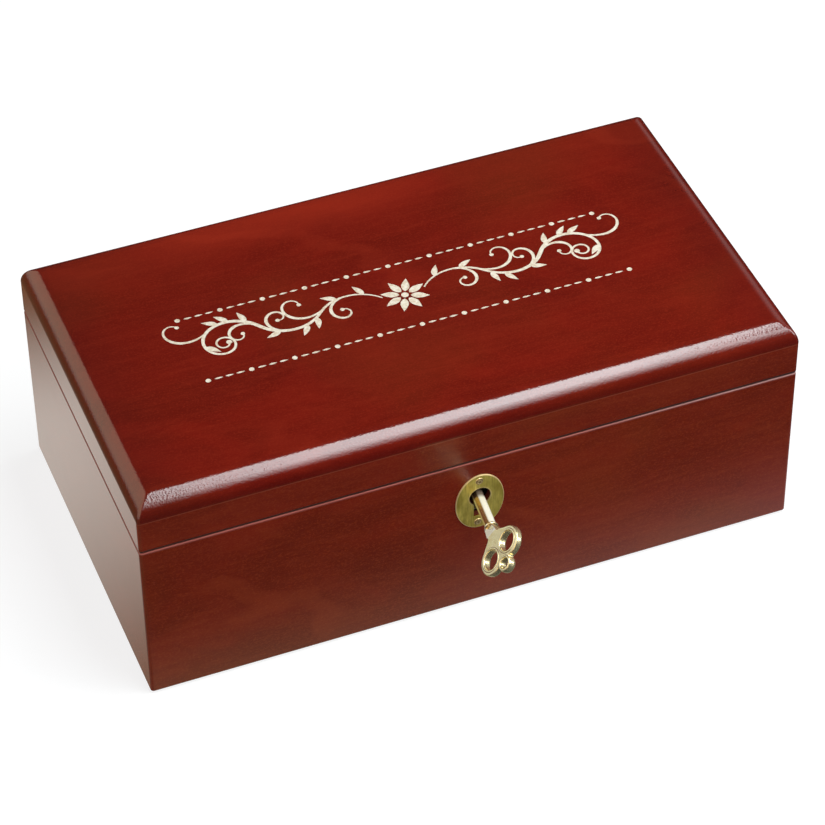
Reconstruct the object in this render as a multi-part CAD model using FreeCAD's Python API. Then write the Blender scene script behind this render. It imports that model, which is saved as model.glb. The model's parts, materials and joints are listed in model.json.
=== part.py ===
import FreeCAD, Part
import math
import os

from FreeCAD import Placement, Rotation, Vector

# A lacquered keepsake box: a mitred body, a mitred lid with a round-over top board, two stop
# hinges, a lock let into the front wall and its key.  Millimetres, +Z up, X along the front,
# Y towards the back.  The origin is the middle of the footprint, on the surface it stands on.

# ---------------------------------------------------------------- wooden body
box_length = 246.7            # outside, along X
box_depth = 136.8             # outside, along Y
body_height = 68.5            # of the boards, without the felt
wall = 10.0                   # thickness of walls and lid rails
corner_round = 1.2            # upright corners
arris = 0.7                   # eased edges at the seam
foot_round = 0.9              # eased edge round the bottom
base_thickness = 4.0
base_rebate = 5.0             # how far the base reaches under the walls
panel_fit = 0.1               # gap round the base in its rebate
felt_thickness = 0.8
felt_inset = 2.0

# ---------------------------------------------------------------- lid
rim_gap = 0.15                # between the rim and the closed lid
rail_height = 14.4
top_thickness = 7.3
round_over = 8.3              # radius worked round the top board

# ---------------------------------------------------------------- linings
lining_thickness = 1.2
lining_drop = 4.0             # bare wood left under the rim
lining_gap = 0.3
pad_thickness = 3.0
lock_window = 0.8             # bare wood left round the lock plate

# ---------------------------------------------------------------- hinges
hinge_inset = 48.0            # from the end of the box to the middle of a hinge
hinge_width = 25.0
leaf_depth = 8.0
leaf_thickness = 1.0
knuckle_radius = 1.6
knuckle_gap = 0.3             # between a knuckle and the back face
knuckle_end_gap = 0.15
middle_knuckle = 8.0
hinge_pin_radius = 0.8
hinge_pin_overhang = 0.5
running_fit = 0.02            # radial, between the pin and the turning knuckle
lid_opening = 100.0           # degrees
stop_play = 0.5               # degrees left between lug and heel when open
stop_radius = 3.0
lug_angle = 17.5              # degrees
heel_angle = 20.0             # degrees

# ---------------------------------------------------------------- screws
screw_head_radius = 1.7
screw_shank_radius = 0.9
screw_head_depth = 0.8
screw_length = 6.0
screw_point = 1.2
screw_tip_radius = 0.1
screw_slot = 0.5
hinge_screw_spacing = 15.0

# ---------------------------------------------------------------- lock
lock_offset = 1.0             # key axis to the right of the middle
key_drop = 16.9               # key axis below the rim
lock_plate = 0.8              # back plate and case
lock_room = 6.0               # inside the case, front to back
selvedge = 1.0                # thickness of the fold over the rim
lock_half_width = 24.0
lock_below = 13.6             # plate below the key axis
case_half_width = 17.5
case_below = 12.0
lock_screw_spread = 20.5      # from the key axis, sideways
lock_screw_rise = 9.0
lock_screw_drop = 8.5
key_post_radius = 0.9
key_post_reach = 1.5          # past the middle of the bolt
stump_radius = 1.0
stump_reach = 1.3
stump_rise = 5.2              # above the key axis
stump_offset = 1.0            # left of the key axis
guide_play = 0.15

# ---------------------------------------------------------------- bolt and staple
bolt_thickness = 1.8
quarter_travel = 8.2          # bolt travel for a quarter turn of the key
tongue_drop = 5.4             # rim to the middle of the tongue
tongue_height = 3.0
tongue_past = 1.7             # past the staple when shot
bolt_tail = 10.0              # right end, unlocked
bolt_left = 8.0               # left end, unlocked
jaw_left = 3.0                # faces that the bit works between, unlocked
jaw_right = 3.6
jaw_right_thickness = 2.0
jaw_right_drop = 2.8          # top of the short jaw below the key axis
bit_clearance = 0.6           # under the bit
bolt_foot = 2.2
shank_clearance = 1.1
staple_offset = 11.5          # staple left of the key axis
staple_thickness = 2.0
staple_side = 0.9             # legs in front of and behind the tongue
staple_bar = 1.8              # bar under the tongue
staple_play_side = 0.35
staple_play_height = 0.4
staple_lift_gap = 0.6         # staple over the low part of the bolt
staple_end_gap = 0.3
staple_slot_gap = 0.6         # round the staple in the selvedge
link_length = 24.0
link_width = 7.0
link_thickness = 1.0
link_screw_spread = 8.5
spring_thickness = 0.4
spring_width = 3.0
spring_gap = 0.3              # over the bolt
spring_rise = 1.3
spring_foot = 6.0

# ---------------------------------------------------------------- escutcheon
escutcheon_half_width = 9.15
escutcheon_half_height = 12.5
escutcheon_thickness = 0.5
escutcheon_bevel = 0.2
escutcheon_drop = 2.3         # middle of the plate below the key axis
keyhole_radius = 4.05
keyhole_slot = 4.7
keyhole_bottom = 9.2          # below the key axis
inner_keyhole_radius = 2.9
pin_head_radius = 1.5
pin_head_height = 0.7
pin_dimple = 0.7
pin_shank_radius = 0.5
pin_rise = 9.9                # above the middle of the plate
pin_rise_left = 0.3
pin_fall = 9.6                # below the middle of the plate
pin_fall_left = 0.8
pin_tip_gap = 0.3

# ---------------------------------------------------------------- key
key_turned = 35.0             # degrees, clockwise from the keyhole slot
key_lean_side = 5.4           # degrees to the left, as it hangs in its loose bore
key_lean_down = 0.5           # degrees
shank_radius = 2.1
bore_radius = 1.27
key_inner_reach = 2.3         # past the middle of the bolt, inwards
bit_reach = 8.2
bit_thickness = 2.6
bit_width = 3.4
collar_reach = 16.6           # collar from the front face
collar_radius = 2.6
collar_width = 1.1
collar_edge = 0.4
bow_thickness = 2.8
neck_thickness = 3.6          # at the collar
neck_length = 3.7
neck_root = 1.8               # half width at the collar
neck_half_width = 2.85        # where the bow begins
lobe_reach = 11.6             # middle of the large holes past the collar
lobe_spread = 4.85            # from the key's axis
lobe_radius = 5.9
lobe_hole = 3.65
tip_reach = 18.0              # middle of the small hole past the collar
tip_radius = 3.3
tip_hole = 2.0
rim_width = 1.0
rim_height = 0.1

# ---------------------------------------------------------------- worked out
half_length = box_length / 2
half_depth = box_depth / 2
wood_bottom = felt_thickness
rim = wood_bottom + body_height
base_top = wood_bottom + base_thickness
rail_bottom = rim + rim_gap
rail_top = rail_bottom + rail_height
lid_top = rail_top + top_thickness
front_face = -half_depth
inner_front = front_face + wall
inner_length = half_length - wall
inner_depth = half_depth - wall
lining_top = rim - lining_drop
margin = wall                 # how far cutting solids overshoot

hinge_axis_y = half_depth + knuckle_gap + knuckle_radius
hinge_axis_z = rim + rim_gap / 2
hinge_places = {"left": -half_length + hinge_inset, "right": half_length - hinge_inset}

key_x = lock_offset
key_z = rim - key_drop
bolt_y = inner_front - lock_plate - lock_room / 2
case_front = inner_front - lock_plate - lock_room - lock_plate
key_pivot = Vector(key_x, bolt_y, key_z)
unlocked_to_rest = quarter_travel * key_turned / 90.0
tongue_top = key_drop - tongue_drop + tongue_height / 2
tongue_bottom = tongue_top - tongue_height
staple_bottom = tongue_bottom - staple_play_height - staple_bar
staple_left = -staple_offset - staple_thickness / 2
staple_right = -staple_offset + staple_thickness / 2


# ---------------------------------------------------------------- helpers
def block(x0, x1, y0, y1, z0, z1):
    return Part.makeBox(x1 - x0, y1 - y0, z1 - z0, Vector(x0, y0, z0))


def rod(radius, start, end):
    along = end - start
    return Part.makeCylinder(radius, along.Length, start, along)


def prism(points, along):
    """A closed outline pushed along a vector."""
    return Part.Face(Part.makePolygon(points + points[:1])).extrude(along)


def upright_edges(shape):
    return [e for e in shape.Edges if abs(e.tangentAt(e.FirstParameter).z) > 0.99]


def edges_at_height(shape, z):
    return [e for e in shape.Edges
            if abs(e.BoundBox.ZMin - z) < 1e-6 and abs(e.BoundBox.ZMax - z) < 1e-6]


def limited(radius, limit):
    """A fillet radius kept inside the edge it meets."""
    return min(radius, 0.9 * limit)


def frame_ring(z0, z1, eased):
    """The four boards of a frame as one ring; eased maps a height to its edge radius."""
    ring = block(-half_length, half_length, -half_depth, half_depth, z0, z1)
    ring = ring.makeFillet(corner_round, upright_edges(ring))
    for z, radius in eased.items():
        ring = ring.makeFillet(limited(radius, corner_round), edges_at_height(ring, z))
    hollow = block(-inner_length, inner_length, -inner_depth, inner_depth, z0 - margin, z1 + margin)
    return ring.cut(hollow)


def mitred_sides(ring, z0, z1):
    """Part a ring along its mitres into its front, back, left and right boards."""
    reach = margin / 2
    xo, xi = half_length + reach, inner_length - reach
    yo, yi = half_depth + reach, inner_depth - reach
    outlines = {
        "front": [(-xo, -yo), (xo, -yo), (xi, -yi), (-xi, -yi)],
        "back": [(-xo, yo), (xo, yo), (xi, yi), (-xi, yi)],
        "left": [(-xo, -yo), (-xo, yo), (-xi, yi), (-xi, -yi)],
        "right": [(xo, -yo), (xo, yo), (xi, yi), (xi, -yi)],
    }
    sides = {}
    for side, outline in outlines.items():
        corners = [Vector(x, y, z0 - margin) for x, y in outline]
        sides[side] = ring.common(prism(corners, Vector(0, 0, z1 - z0 + 2 * margin)))
    return sides


def screw_body():
    """A countersunk screw: head at the origin, pointing down."""
    neck = -screw_head_depth
    tip = neck - screw_length
    head = Part.makeCone(screw_shank_radius, screw_head_radius, screw_head_depth, Vector(0, 0, neck))
    shank = rod(screw_shank_radius, Vector(0, 0, neck), Vector(0, 0, tip))
    point = Part.makeCone(screw_tip_radius, screw_shank_radius, screw_point,
                          Vector(0, 0, tip - screw_point))
    return head.fuse([shank, point]).removeSplitter()


def slotted_screw():
    half = screw_slot / 2
    slot = block(-screw_head_radius, screw_head_radius, -half, half, -screw_slot, screw_slot)
    return screw_body().cut(slot)


def placed(shape, place, rotation=Rotation()):
    copy = shape.copy()
    copy.Placement = Placement(place, rotation)
    return copy


POINTING_UP = Rotation(Vector(1, 0, 0), 180)
POINTING_FORWARD = Rotation(Vector(1, 0, 0), -90)


# ---------------------------------------------------------------- hinges
def sector(inner, outer, from_angle, to_angle, x0, x1):
    """Part of a tube round the hinge axis, between two angles from +Y towards +Z."""
    axis = Vector(1, 0, 0)
    start = Vector(x0, hinge_axis_y, hinge_axis_z)
    tube = Part.makeCylinder(outer, x1 - x0, start, axis)
    tube = tube.cut(Part.makeCylinder(inner, x1 - x0, start, axis))
    reach = 2 * outer
    angles = [math.radians(a) for a in (from_angle, to_angle)]
    rays = [start + Vector(0, reach * math.cos(a), reach * math.sin(a)) for a in angles]
    return tube.common(prism([start] + rays, Vector(x1 - x0, 0, 0)))


def knuckle(x0, x1, bore):
    start = Vector(x0, hinge_axis_y, hinge_axis_z)
    end = Vector(x1, hinge_axis_y, hinge_axis_z)
    return rod(knuckle_radius, start, end).cut(rod(bore, start, end))


def hinge_screw_places(x, z):
    y = half_depth - leaf_depth / 2
    return [Vector(x + side * hinge_screw_spacing / 2, y, z) for side in (-1, 1)]


def leaf_plate(x, z0, spans, bore):
    """A leaf that runs on to its own knuckles, given as spans along X."""
    half = hinge_width / 2
    plate = block(x - half, x + half, half_depth - leaf_depth, half_depth, z0, z0 + leaf_thickness)
    for x0, x1 in spans:
        tab = block(x0, x1, half_depth, hinge_axis_y, z0, z0 + leaf_thickness)
        hole = rod(bore, Vector(x0, hinge_axis_y, hinge_axis_z), Vector(x1, hinge_axis_y, hinge_axis_z))
        plate = plate.fuse([tab.cut(hole), knuckle(x0, x1, bore)])
    return plate


def body_leaf(x):
    half, mid = hinge_width / 2, middle_knuckle / 2 + knuckle_end_gap
    spans = [(x - half, x - mid), (x + mid, x + half)]
    leaf = leaf_plate(x, rim - leaf_thickness, spans, hinge_pin_radius)
    bridge_inner = knuckle_radius + knuckle_gap
    heel = [sector(bridge_inner, stop_radius, -heel_angle, 0, x - half, x + half)]
    heel += [sector(hinge_pin_radius, stop_radius, -heel_angle, 0, x0, x1) for x0, x1 in spans]
    leaf = leaf.fuse(heel).removeSplitter()
    return leaf.cut([placed(screw_body(), p) for p in hinge_screw_places(x, rim)])


def lid_leaf(x):
    mid = middle_knuckle / 2
    bore = hinge_pin_radius + running_fit
    leaf = leaf_plate(x, rail_bottom, [(x - mid, x + mid)], bore)
    lug_start = lid_opening + stop_play
    lug = sector(bore, stop_radius, lug_start, lug_start + lug_angle, x - mid, x + mid)
    leaf = leaf.fuse(lug).removeSplitter()
    return leaf.cut([placed(screw_body(), p, POINTING_UP) for p in hinge_screw_places(x, rail_bottom)])


def hinge_pin(x):
    reach = hinge_width / 2 + hinge_pin_overhang
    start = Vector(x - reach, hinge_axis_y, hinge_axis_z)
    return rod(hinge_pin_radius, start, start + Vector(2 * reach, 0, 0))


def hinge_mortise(x, z0):
    half = hinge_width / 2
    return block(x - half, x + half, half_depth - leaf_depth, half_depth + margin, z0, z0 + leaf_thickness)


# ---------------------------------------------------------------- lock
def lock_screw_places():
    heights = (key_z + lock_screw_rise, key_z - lock_screw_drop)
    sides = (-lock_screw_spread, lock_screw_spread)
    return [Vector(key_x + side, inner_front, z) for side in sides for z in heights]


def lock_outline_block(half_width, below, y0, y1, top):
    return block(key_x - half_width, key_x + half_width, y0, y1, key_z - below, top)


def keyhole(radius, y0, y1):
    """Round hole with a slot below it, through from y0 to y1."""
    hole = rod(radius, Vector(key_x, y0, key_z), Vector(key_x, y1, key_z))
    half = keyhole_slot / 2
    slot = block(key_x - half, key_x + half, y0, y1, key_z - keyhole_bottom, key_z)
    return hole.fuse(slot).removeSplitter()


def key_post_rod():
    end = Vector(key_x, bolt_y - key_post_reach, key_z)
    return rod(key_post_radius, Vector(key_x, inner_front, key_z), end)


def lock_case():
    outside = lock_outline_block(case_half_width, case_below, case_front,
                                 inner_front - lock_plate, rim - selvedge)
    inside = lock_outline_block(case_half_width - lock_plate, case_below - lock_plate,
                                case_front + lock_plate, inner_front, rim)
    return outside.cut([inside, keyhole(inner_keyhole_radius, front_face, case_front + lock_plate)])


def staple_slot():
    reach = staple_thickness / 2 + staple_slot_gap
    half = bolt_thickness / 2 + staple_play_side + staple_side + staple_slot_gap
    middle = key_x - staple_offset
    return block(middle - reach, middle + reach, bolt_y - half, bolt_y + half, rim - selvedge, rim)


def lock_back_plate():
    plate = lock_outline_block(lock_half_width, lock_below, inner_front - lock_plate, inner_front, rim)
    fold = block(key_x - lock_half_width, key_x + lock_half_width, case_front, inner_front,
                 rim - selvedge, rim)
    stump_at = Vector(key_x - stump_offset, inner_front - lock_plate, key_z + stump_rise)
    stump_end = Vector(stump_at.x, bolt_y - stump_reach, stump_at.z)
    plate = plate.fuse([fold, rod(stump_radius, stump_at, stump_end)]).removeSplitter()
    holes = [placed(screw_body(), p, POINTING_FORWARD) for p in lock_screw_places()]
    return plate.cut(holes + [staple_slot(), key_post_rod()])


def bolt_outline():
    """The bolt as it lies unlocked, from the key axis: X to the right, Z up."""
    floor = -bit_reach - bit_clearance
    foot = floor - bolt_foot
    shoulder = shank_radius + shank_clearance
    low_top = staple_bottom - staple_lift_gap
    notch = staple_right + quarter_travel + staple_end_gap
    tip = staple_left - tongue_past + quarter_travel
    jaw_outside = jaw_right + jaw_right_thickness
    return [(-bolt_left, foot), (jaw_outside, foot), (jaw_outside, -jaw_right_drop),
            (jaw_right, -jaw_right_drop), (jaw_right, floor), (-jaw_left, floor),
            (-jaw_left, shoulder), (bolt_tail, shoulder), (bolt_tail, tongue_top),
            (tip, tongue_top), (tip, tongue_bottom), (notch, tongue_bottom),
            (notch, low_top), (-bolt_left, low_top)]


def lock_bolt():
    front = bolt_y - bolt_thickness / 2
    shift = key_x - unlocked_to_rest
    corners = [Vector(x + shift, front, key_z + z) for x, z in bolt_outline()]
    plate = prism(corners, Vector(0, bolt_thickness, 0))
    half = stump_radius + guide_play
    z = key_z + stump_rise
    x0 = shift - stump_offset
    back = front + bolt_thickness
    ends = [rod(half, Vector(x, front, z), Vector(x, back, z)) for x in (x0, x0 + quarter_travel)]
    slot = block(x0, x0 + quarter_travel, front, back, z - half, z + half)
    return plate.cut(ends + [slot])


def lock_spring():
    """A bent leaf: its foot against the case, its blade over the bolt."""
    right = key_x + case_half_width - lock_plate
    low = key_z + tongue_top + spring_gap
    high = low + spring_rise
    left = key_x - bolt_left / 2
    t = spring_thickness
    outline = [(right, high + t), (left, low + t), (left, low), (right - t, high),
               (right - t, high - spring_foot), (right, high - spring_foot)]
    y = bolt_y - spring_width / 2
    return prism([Vector(x, y, z) for x, z in outline], Vector(0, spring_width, 0))


def link_screw_places():
    middle = key_x - staple_offset
    return [Vector(middle + side * link_screw_spread, bolt_y, rail_bottom) for side in (-1, 1)]


def link_recess():
    middle = key_x - staple_offset
    return block(middle - link_length / 2, middle + link_length / 2, bolt_y - link_width / 2,
                 bolt_y + link_width / 2, rail_bottom, rail_bottom + link_thickness)


def link_plate():
    middle = key_x - staple_offset
    x0, x1 = middle - staple_thickness / 2, middle + staple_thickness / 2
    eye_half = bolt_thickness / 2 + staple_play_side
    leg_half = eye_half + staple_side
    staple = block(x0, x1, bolt_y - leg_half, bolt_y + leg_half, key_z + staple_bottom, rail_bottom)
    eye = block(x0, x1, bolt_y - eye_half, bolt_y + eye_half,
                key_z + tongue_bottom - staple_play_height, key_z + tongue_top + staple_play_height)
    plate = link_recess().fuse(staple.cut(eye)).removeSplitter()
    return plate.cut([placed(screw_body(), p, POINTING_UP) for p in link_screw_places()])


# ---------------------------------------------------------------- escutcheon
def escutcheon_pin_places():
    middle = key_z - escutcheon_drop
    y = front_face - escutcheon_thickness
    return [Vector(key_x - pin_rise_left, y, middle + pin_rise),
            Vector(key_x - pin_fall_left, y, middle - pin_fall)]


def escutcheon_pin(place):
    """A pin with a dimpled dome head, driven towards +Y."""
    ball = (pin_head_radius ** 2 + pin_head_height ** 2) / (2 * pin_head_height)
    centre = place + Vector(0, ball - pin_head_height, 0)
    dome = Part.makeSphere(ball, centre).common(
        rod(pin_head_radius, place, place - Vector(0, ball, 0)))
    dimple_at = place - Vector(0, pin_head_height + pin_dimple / 2, 0)
    dome = dome.cut(Part.makeSphere(pin_dimple, dimple_at))
    tip = Vector(place.x, case_front - pin_tip_gap, place.z)
    return dome.fuse(rod(pin_shank_radius, place, tip)).removeSplitter()


def escutcheon_pin_hole(place):
    return rod(pin_shank_radius, place, Vector(place.x, case_front - pin_tip_gap, place.z))


def escutcheon():
    oval = Part.Ellipse(Vector(0, 0, 0), escutcheon_half_height, escutcheon_half_width)
    face = Part.Face(Part.Wire(oval.toShape()))
    face.rotate(Vector(0, 0, 0), Vector(0, 0, 1), 90)
    face.rotate(Vector(0, 0, 0), Vector(1, 0, 0), 90)
    face.translate(Vector(key_x, front_face, key_z - escutcheon_drop))
    plate = face.extrude(Vector(0, -escutcheon_thickness, 0))
    outer = front_face - escutcheon_thickness
    rim_edges = [e for e in plate.Edges if abs(e.BoundBox.YMax - outer) < 1e-6]
    plate = plate.makeChamfer(escutcheon_bevel, rim_edges)
    holes = [escutcheon_pin_hole(p) for p in escutcheon_pin_places()]
    return plate.cut(holes + [keyhole(keyhole_radius, outer - margin, front_face + margin)])


# ---------------------------------------------------------------- key
def key_frame():
    """Where the key's own axes point: U outwards, V across the bow, W through the bow."""
    side, down = math.radians(key_lean_side), math.radians(key_lean_down)
    out = Vector(-math.tan(side), -1, -math.tan(down)).normalize()
    turn = math.radians(90.0 - key_turned)
    across = Vector(math.cos(turn), 0, math.sin(turn))
    across = (across - out * across.dot(out)).normalize()
    return Placement(key_pivot, Rotation(out, across, out.cross(across), "XYZ"))


def disc(radius, u, v, thickness):
    start = Vector(u, v, -thickness / 2)
    return Part.makeCylinder(radius, thickness, start, Vector(0, 0, 1))


def flat_sheet(points, thickness):
    corners = [Vector(u, v, -thickness / 2) for u, v in points]
    return prism(corners, Vector(0, 0, thickness))


def tangent_point(start, centre, radius, side):
    """Where a line from start touches a circle, on its left (1) or right (-1) side."""
    du, dv = centre[0] - start[0], centre[1] - start[1]
    away = math.hypot(du, dv)
    turn = math.atan2(dv, du) + side * math.asin(radius / away)
    along = math.sqrt(away ** 2 - radius ** 2)
    return start[0] + along * math.cos(turn), start[1] + along * math.sin(turn)


def bow_blank(collar_u, thickness):
    """The trefoil with its neck, before its holes."""
    neck_u, lobe_u, tip_u = collar_u + neck_length, collar_u + lobe_reach, collar_u + tip_reach
    lobes = [disc(lobe_radius, lobe_u, side * lobe_spread, thickness) for side in (-1, 1)]
    upper = tangent_point((neck_u, neck_half_width), (lobe_u, lobe_spread), lobe_radius, 1)
    edge = [(collar_u, neck_root), (neck_u, neck_half_width), upper, (lobe_u, lobe_spread)]
    neck = edge + [(tip_u, 0)] + [(u, -v) for u, v in reversed(edge)]
    tip = disc(tip_radius, tip_u, 0, thickness)
    return flat_sheet(neck, thickness).fuse(lobes + [tip]).removeSplitter()


def key_shape():
    face_u = (bolt_y - front_face) / math.cos(math.radians(key_lean_side))
    collar_u = face_u + collar_reach
    shank = rod(shank_radius, Vector(-key_inner_reach, 0, 0), Vector(collar_u, 0, 0))
    bit = block(-bit_width / 2, bit_width / 2, -bit_reach, 0, -bit_thickness / 2, bit_thickness / 2)
    collar = rod(collar_radius, Vector(collar_u - collar_width, 0, 0), Vector(collar_u, 0, 0))
    rims = [e for e in collar.Edges if e.isClosed()]
    collar = collar.makeFillet(limited(collar_edge, collar_width / 2), rims)
    wedge_points = [(collar_u, neck_thickness), (collar_u + neck_length, bow_thickness)]
    wedge = prism([Vector(u, -margin, side * t / 2) for side in (1, -1)
                   for u, t in wedge_points[::side]], Vector(0, 2 * margin, 0))
    neck = bow_blank(collar_u, neck_thickness).common(wedge)
    rings = []
    holes = []
    for u, v, hole in ((collar_u + lobe_reach, lobe_spread, lobe_hole),
                       (collar_u + lobe_reach, -lobe_spread, lobe_hole),
                       (collar_u + tip_reach, 0, tip_hole)):
        rings.append(disc(hole + rim_width, u, v, bow_thickness + 2 * rim_height))
        holes.append(disc(hole, u, v, neck_thickness))
    solid = shank.fuse([bit, collar, neck, bow_blank(collar_u, bow_thickness)] + rings)
    bore_end = key_post_reach + 2 * guide_play
    bore = rod(bore_radius, Vector(-key_inner_reach, 0, 0), Vector(bore_end, 0, 0))
    return solid.removeSplitter().cut(holes + [bore])


# ---------------------------------------------------------------- wooden parts
def rebate_cut():
    x, y = inner_length + base_rebate, inner_depth + base_rebate
    return block(-x, x, -y, y, wood_bottom, base_top)


def body_boards():
    ring = frame_ring(wood_bottom, rim, {rim: arris, wood_bottom: foot_round})
    cuts = [rebate_cut()]
    for x in hinge_places.values():
        cuts.append(hinge_mortise(x, rim - leaf_thickness))
        cuts += [placed(screw_body(), p) for p in hinge_screw_places(x, rim)]
    cuts.append(lock_outline_block(case_half_width, case_below, case_front, inner_front, rim))
    cuts.append(lock_outline_block(lock_half_width, lock_below, inner_front - lock_plate, inner_front, rim))
    cuts.append(block(key_x - lock_half_width, key_x + lock_half_width, case_front, inner_front,
                      rim - selvedge, rim))
    cuts.append(keyhole(keyhole_radius, front_face - margin, case_front))
    cuts += [placed(screw_body(), p, POINTING_FORWARD) for p in lock_screw_places()]
    cuts += [escutcheon_pin_hole(p) for p in escutcheon_pin_places()]
    return mitred_sides(ring.cut(cuts), wood_bottom, rim)


def lid_rails():
    ring = frame_ring(rail_bottom, rail_top, {rail_bottom: arris})
    cuts = [link_recess()]
    for x in hinge_places.values():
        cuts.append(hinge_mortise(x, rail_bottom))
        cuts += [placed(screw_body(), p, POINTING_UP) for p in hinge_screw_places(x, rail_bottom)]
    cuts += [placed(screw_body(), p, POINTING_UP) for p in link_screw_places()]
    return mitred_sides(ring.cut(cuts), rail_bottom, rail_top)


def round_over_tool(half_across, half_along):
    """What a round-over bit takes off the edge at -half_across, run along the other way."""
    sweep = math.acos(max(-1.0, 1 - top_thickness / round_over))
    inset = round_over * math.sin(sweep)
    centre_z = lid_top - round_over

    def on_arc(angle):
        return Vector(0, inset - half_across - round_over * math.sin(angle),
                      centre_z + round_over * math.cos(angle))

    start, middle, end = on_arc(0), on_arc(sweep / 2), on_arc(sweep)
    outer_low = Vector(0, -half_across - margin, end.z)
    outer_high = Vector(0, -half_across - margin, lid_top + margin)
    inner_high = Vector(0, start.y, lid_top + margin)
    edges = [Part.Arc(start, middle, end).toShape()]
    for a, b in ((end, outer_low), (outer_low, outer_high), (outer_high, inner_high), (inner_high, start)):
        edges.append(Part.LineSegment(a, b).toShape())
    face = Part.Face(Part.Wire(edges))
    face.translate(Vector(-half_along - margin, 0, 0))
    return face.extrude(Vector(2 * (half_along + margin), 0, 0))


def lid_top_board():
    board = block(-half_length, half_length, -half_depth, half_depth, rail_top, lid_top)
    board = board.makeFillet(corner_round, upright_edges(board))
    tools = []
    for quarter_turn, across, along in ((0, half_depth, half_length), (1, half_length, half_depth),
                                        (2, half_depth, half_length), (3, half_length, half_depth)):
        tool = round_over_tool(across, along)
        tool.rotate(Vector(0, 0, 0), Vector(0, 0, 1), 90 * quarter_turn)
        tools.append(tool)
    return board.cut(tools)


def base_panel():
    x = inner_length + base_rebate - panel_fit
    y = inner_depth + base_rebate - panel_fit
    return block(-x, x, -y, y, wood_bottom, base_top)


def base_felt():
    x, y = half_length - felt_inset, half_depth - felt_inset
    felt = block(-x, x, -y, y, 0, felt_thickness)
    return felt.makeFillet(corner_round, upright_edges(felt))


# ---------------------------------------------------------------- linings
def floor_pad():
    inset = lining_thickness + lining_gap
    x, y = inner_length - inset, inner_depth - inset
    return block(-x, x, -y, y, base_top, base_top + pad_thickness)


def side_linings():
    x, y, t = inner_length, inner_depth, lining_thickness
    short = y - t - lining_gap
    panels = {
        "front": block(-x, x, -y, -y + t, base_top, lining_top),
        "back": block(-x, x, y - t, y, base_top, lining_top),
        "left": block(-x, -x + t, -short, short, base_top, lining_top),
        "right": block(x - t, x, -short, short, base_top, lining_top),
    }
    window = lock_outline_block(lock_half_width + lock_window, lock_below + lock_window,
                                inner_front - margin, inner_front + margin, rim)
    panels["front"] = panels["front"].cut(window)
    return panels


def lid_lining():
    x, y = inner_length - lining_gap, inner_depth - lining_gap
    return block(-x, x, -y, y, rail_top - lining_thickness, rail_top)


# ---------------------------------------------------------------- the whole box
def build_nodes():
    nodes = {}
    for side, board in body_boards().items():
        nodes[side + "_wall"] = board
    for side, rail in lid_rails().items():
        nodes["lid_" + side + "_rail"] = rail
    for side, panel in side_linings().items():
        nodes["lining_" + side] = panel
    nodes["base_panel"] = base_panel()
    nodes["base_felt"] = base_felt()
    nodes["floor_pad"] = floor_pad()
    nodes["lid_top_board"] = lid_top_board()
    nodes["lid_lining"] = lid_lining()

    body_screws = []
    lid_screws = []
    for side, x in hinge_places.items():
        nodes["hinge_" + side + "_body_leaf"] = body_leaf(x)
        nodes["hinge_" + side + "_lid_leaf"] = lid_leaf(x)
        nodes["hinge_" + side + "_pin"] = hinge_pin(x)
        body_screws += [placed(slotted_screw(), p) for p in hinge_screw_places(x, rim)]
        lid_screws += [placed(slotted_screw(), p, POINTING_UP) for p in hinge_screw_places(x, rail_bottom)]
    nodes["hinge_body_screws"] = Part.makeCompound(body_screws)
    nodes["hinge_lid_screws"] = Part.makeCompound(lid_screws)

    lock_screws = [placed(slotted_screw(), p, POINTING_FORWARD) for p in lock_screw_places()]
    link_screws = [placed(slotted_screw(), p, POINTING_UP) for p in link_screw_places()]
    nodes["lock_case"] = lock_case()
    nodes["lock_back_plate"] = lock_back_plate()
    nodes["lock_key_post"] = key_post_rod()
    nodes["lock_bolt"] = lock_bolt()
    nodes["lock_spring"] = lock_spring()
    nodes["lock_screws"] = Part.makeCompound(lock_screws)
    nodes["link_plate"] = link_plate()
    nodes["link_plate_screws"] = Part.makeCompound(link_screws)

    nodes["escutcheon"] = escutcheon()
    nodes["escutcheon_pins"] = Part.makeCompound([escutcheon_pin(p) for p in escutcheon_pin_places()])
    nodes["key"] = placed(key_shape(), key_frame().Base, key_frame().Rotation)
    return nodes


os.makedirs("parts", exist_ok=True)
for name, shape in build_nodes().items():
    print("%-24s solids %d  volume %10.2f  valid %s"
          % (name, len(shape.Solids), shape.Volume, shape.isValid()))
    shape.exportStep(os.path.join("parts", name + ".step"))

key_out = key_frame().Rotation.multVec(Vector(1, 0, 0))
print("key turns about", key_pivot, "axis", -key_out)
print("hinge axis y", hinge_axis_y, "z", hinge_axis_z)
print("bolt at rest", unlocked_to_rest, "metres per radian", quarter_travel / (math.pi / 2) / 1000)
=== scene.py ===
# %% [markdown]
# # A lacquered keepsake box with a lock and key
# The wooden boards, hinges and lock come from the construction model, which is loaded here as a
# fixed frame.  This lesson gives each surface its finish, and makes the pieces whose beauty is in
# their surface: the engraved lid board, the cast key, the small screws and pins, and the velvet.

# %% Load the construction model
import json
import math

import bmesh
import bpy
import numpy as np
from mathutils import Matrix, Vector, geometry


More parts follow.
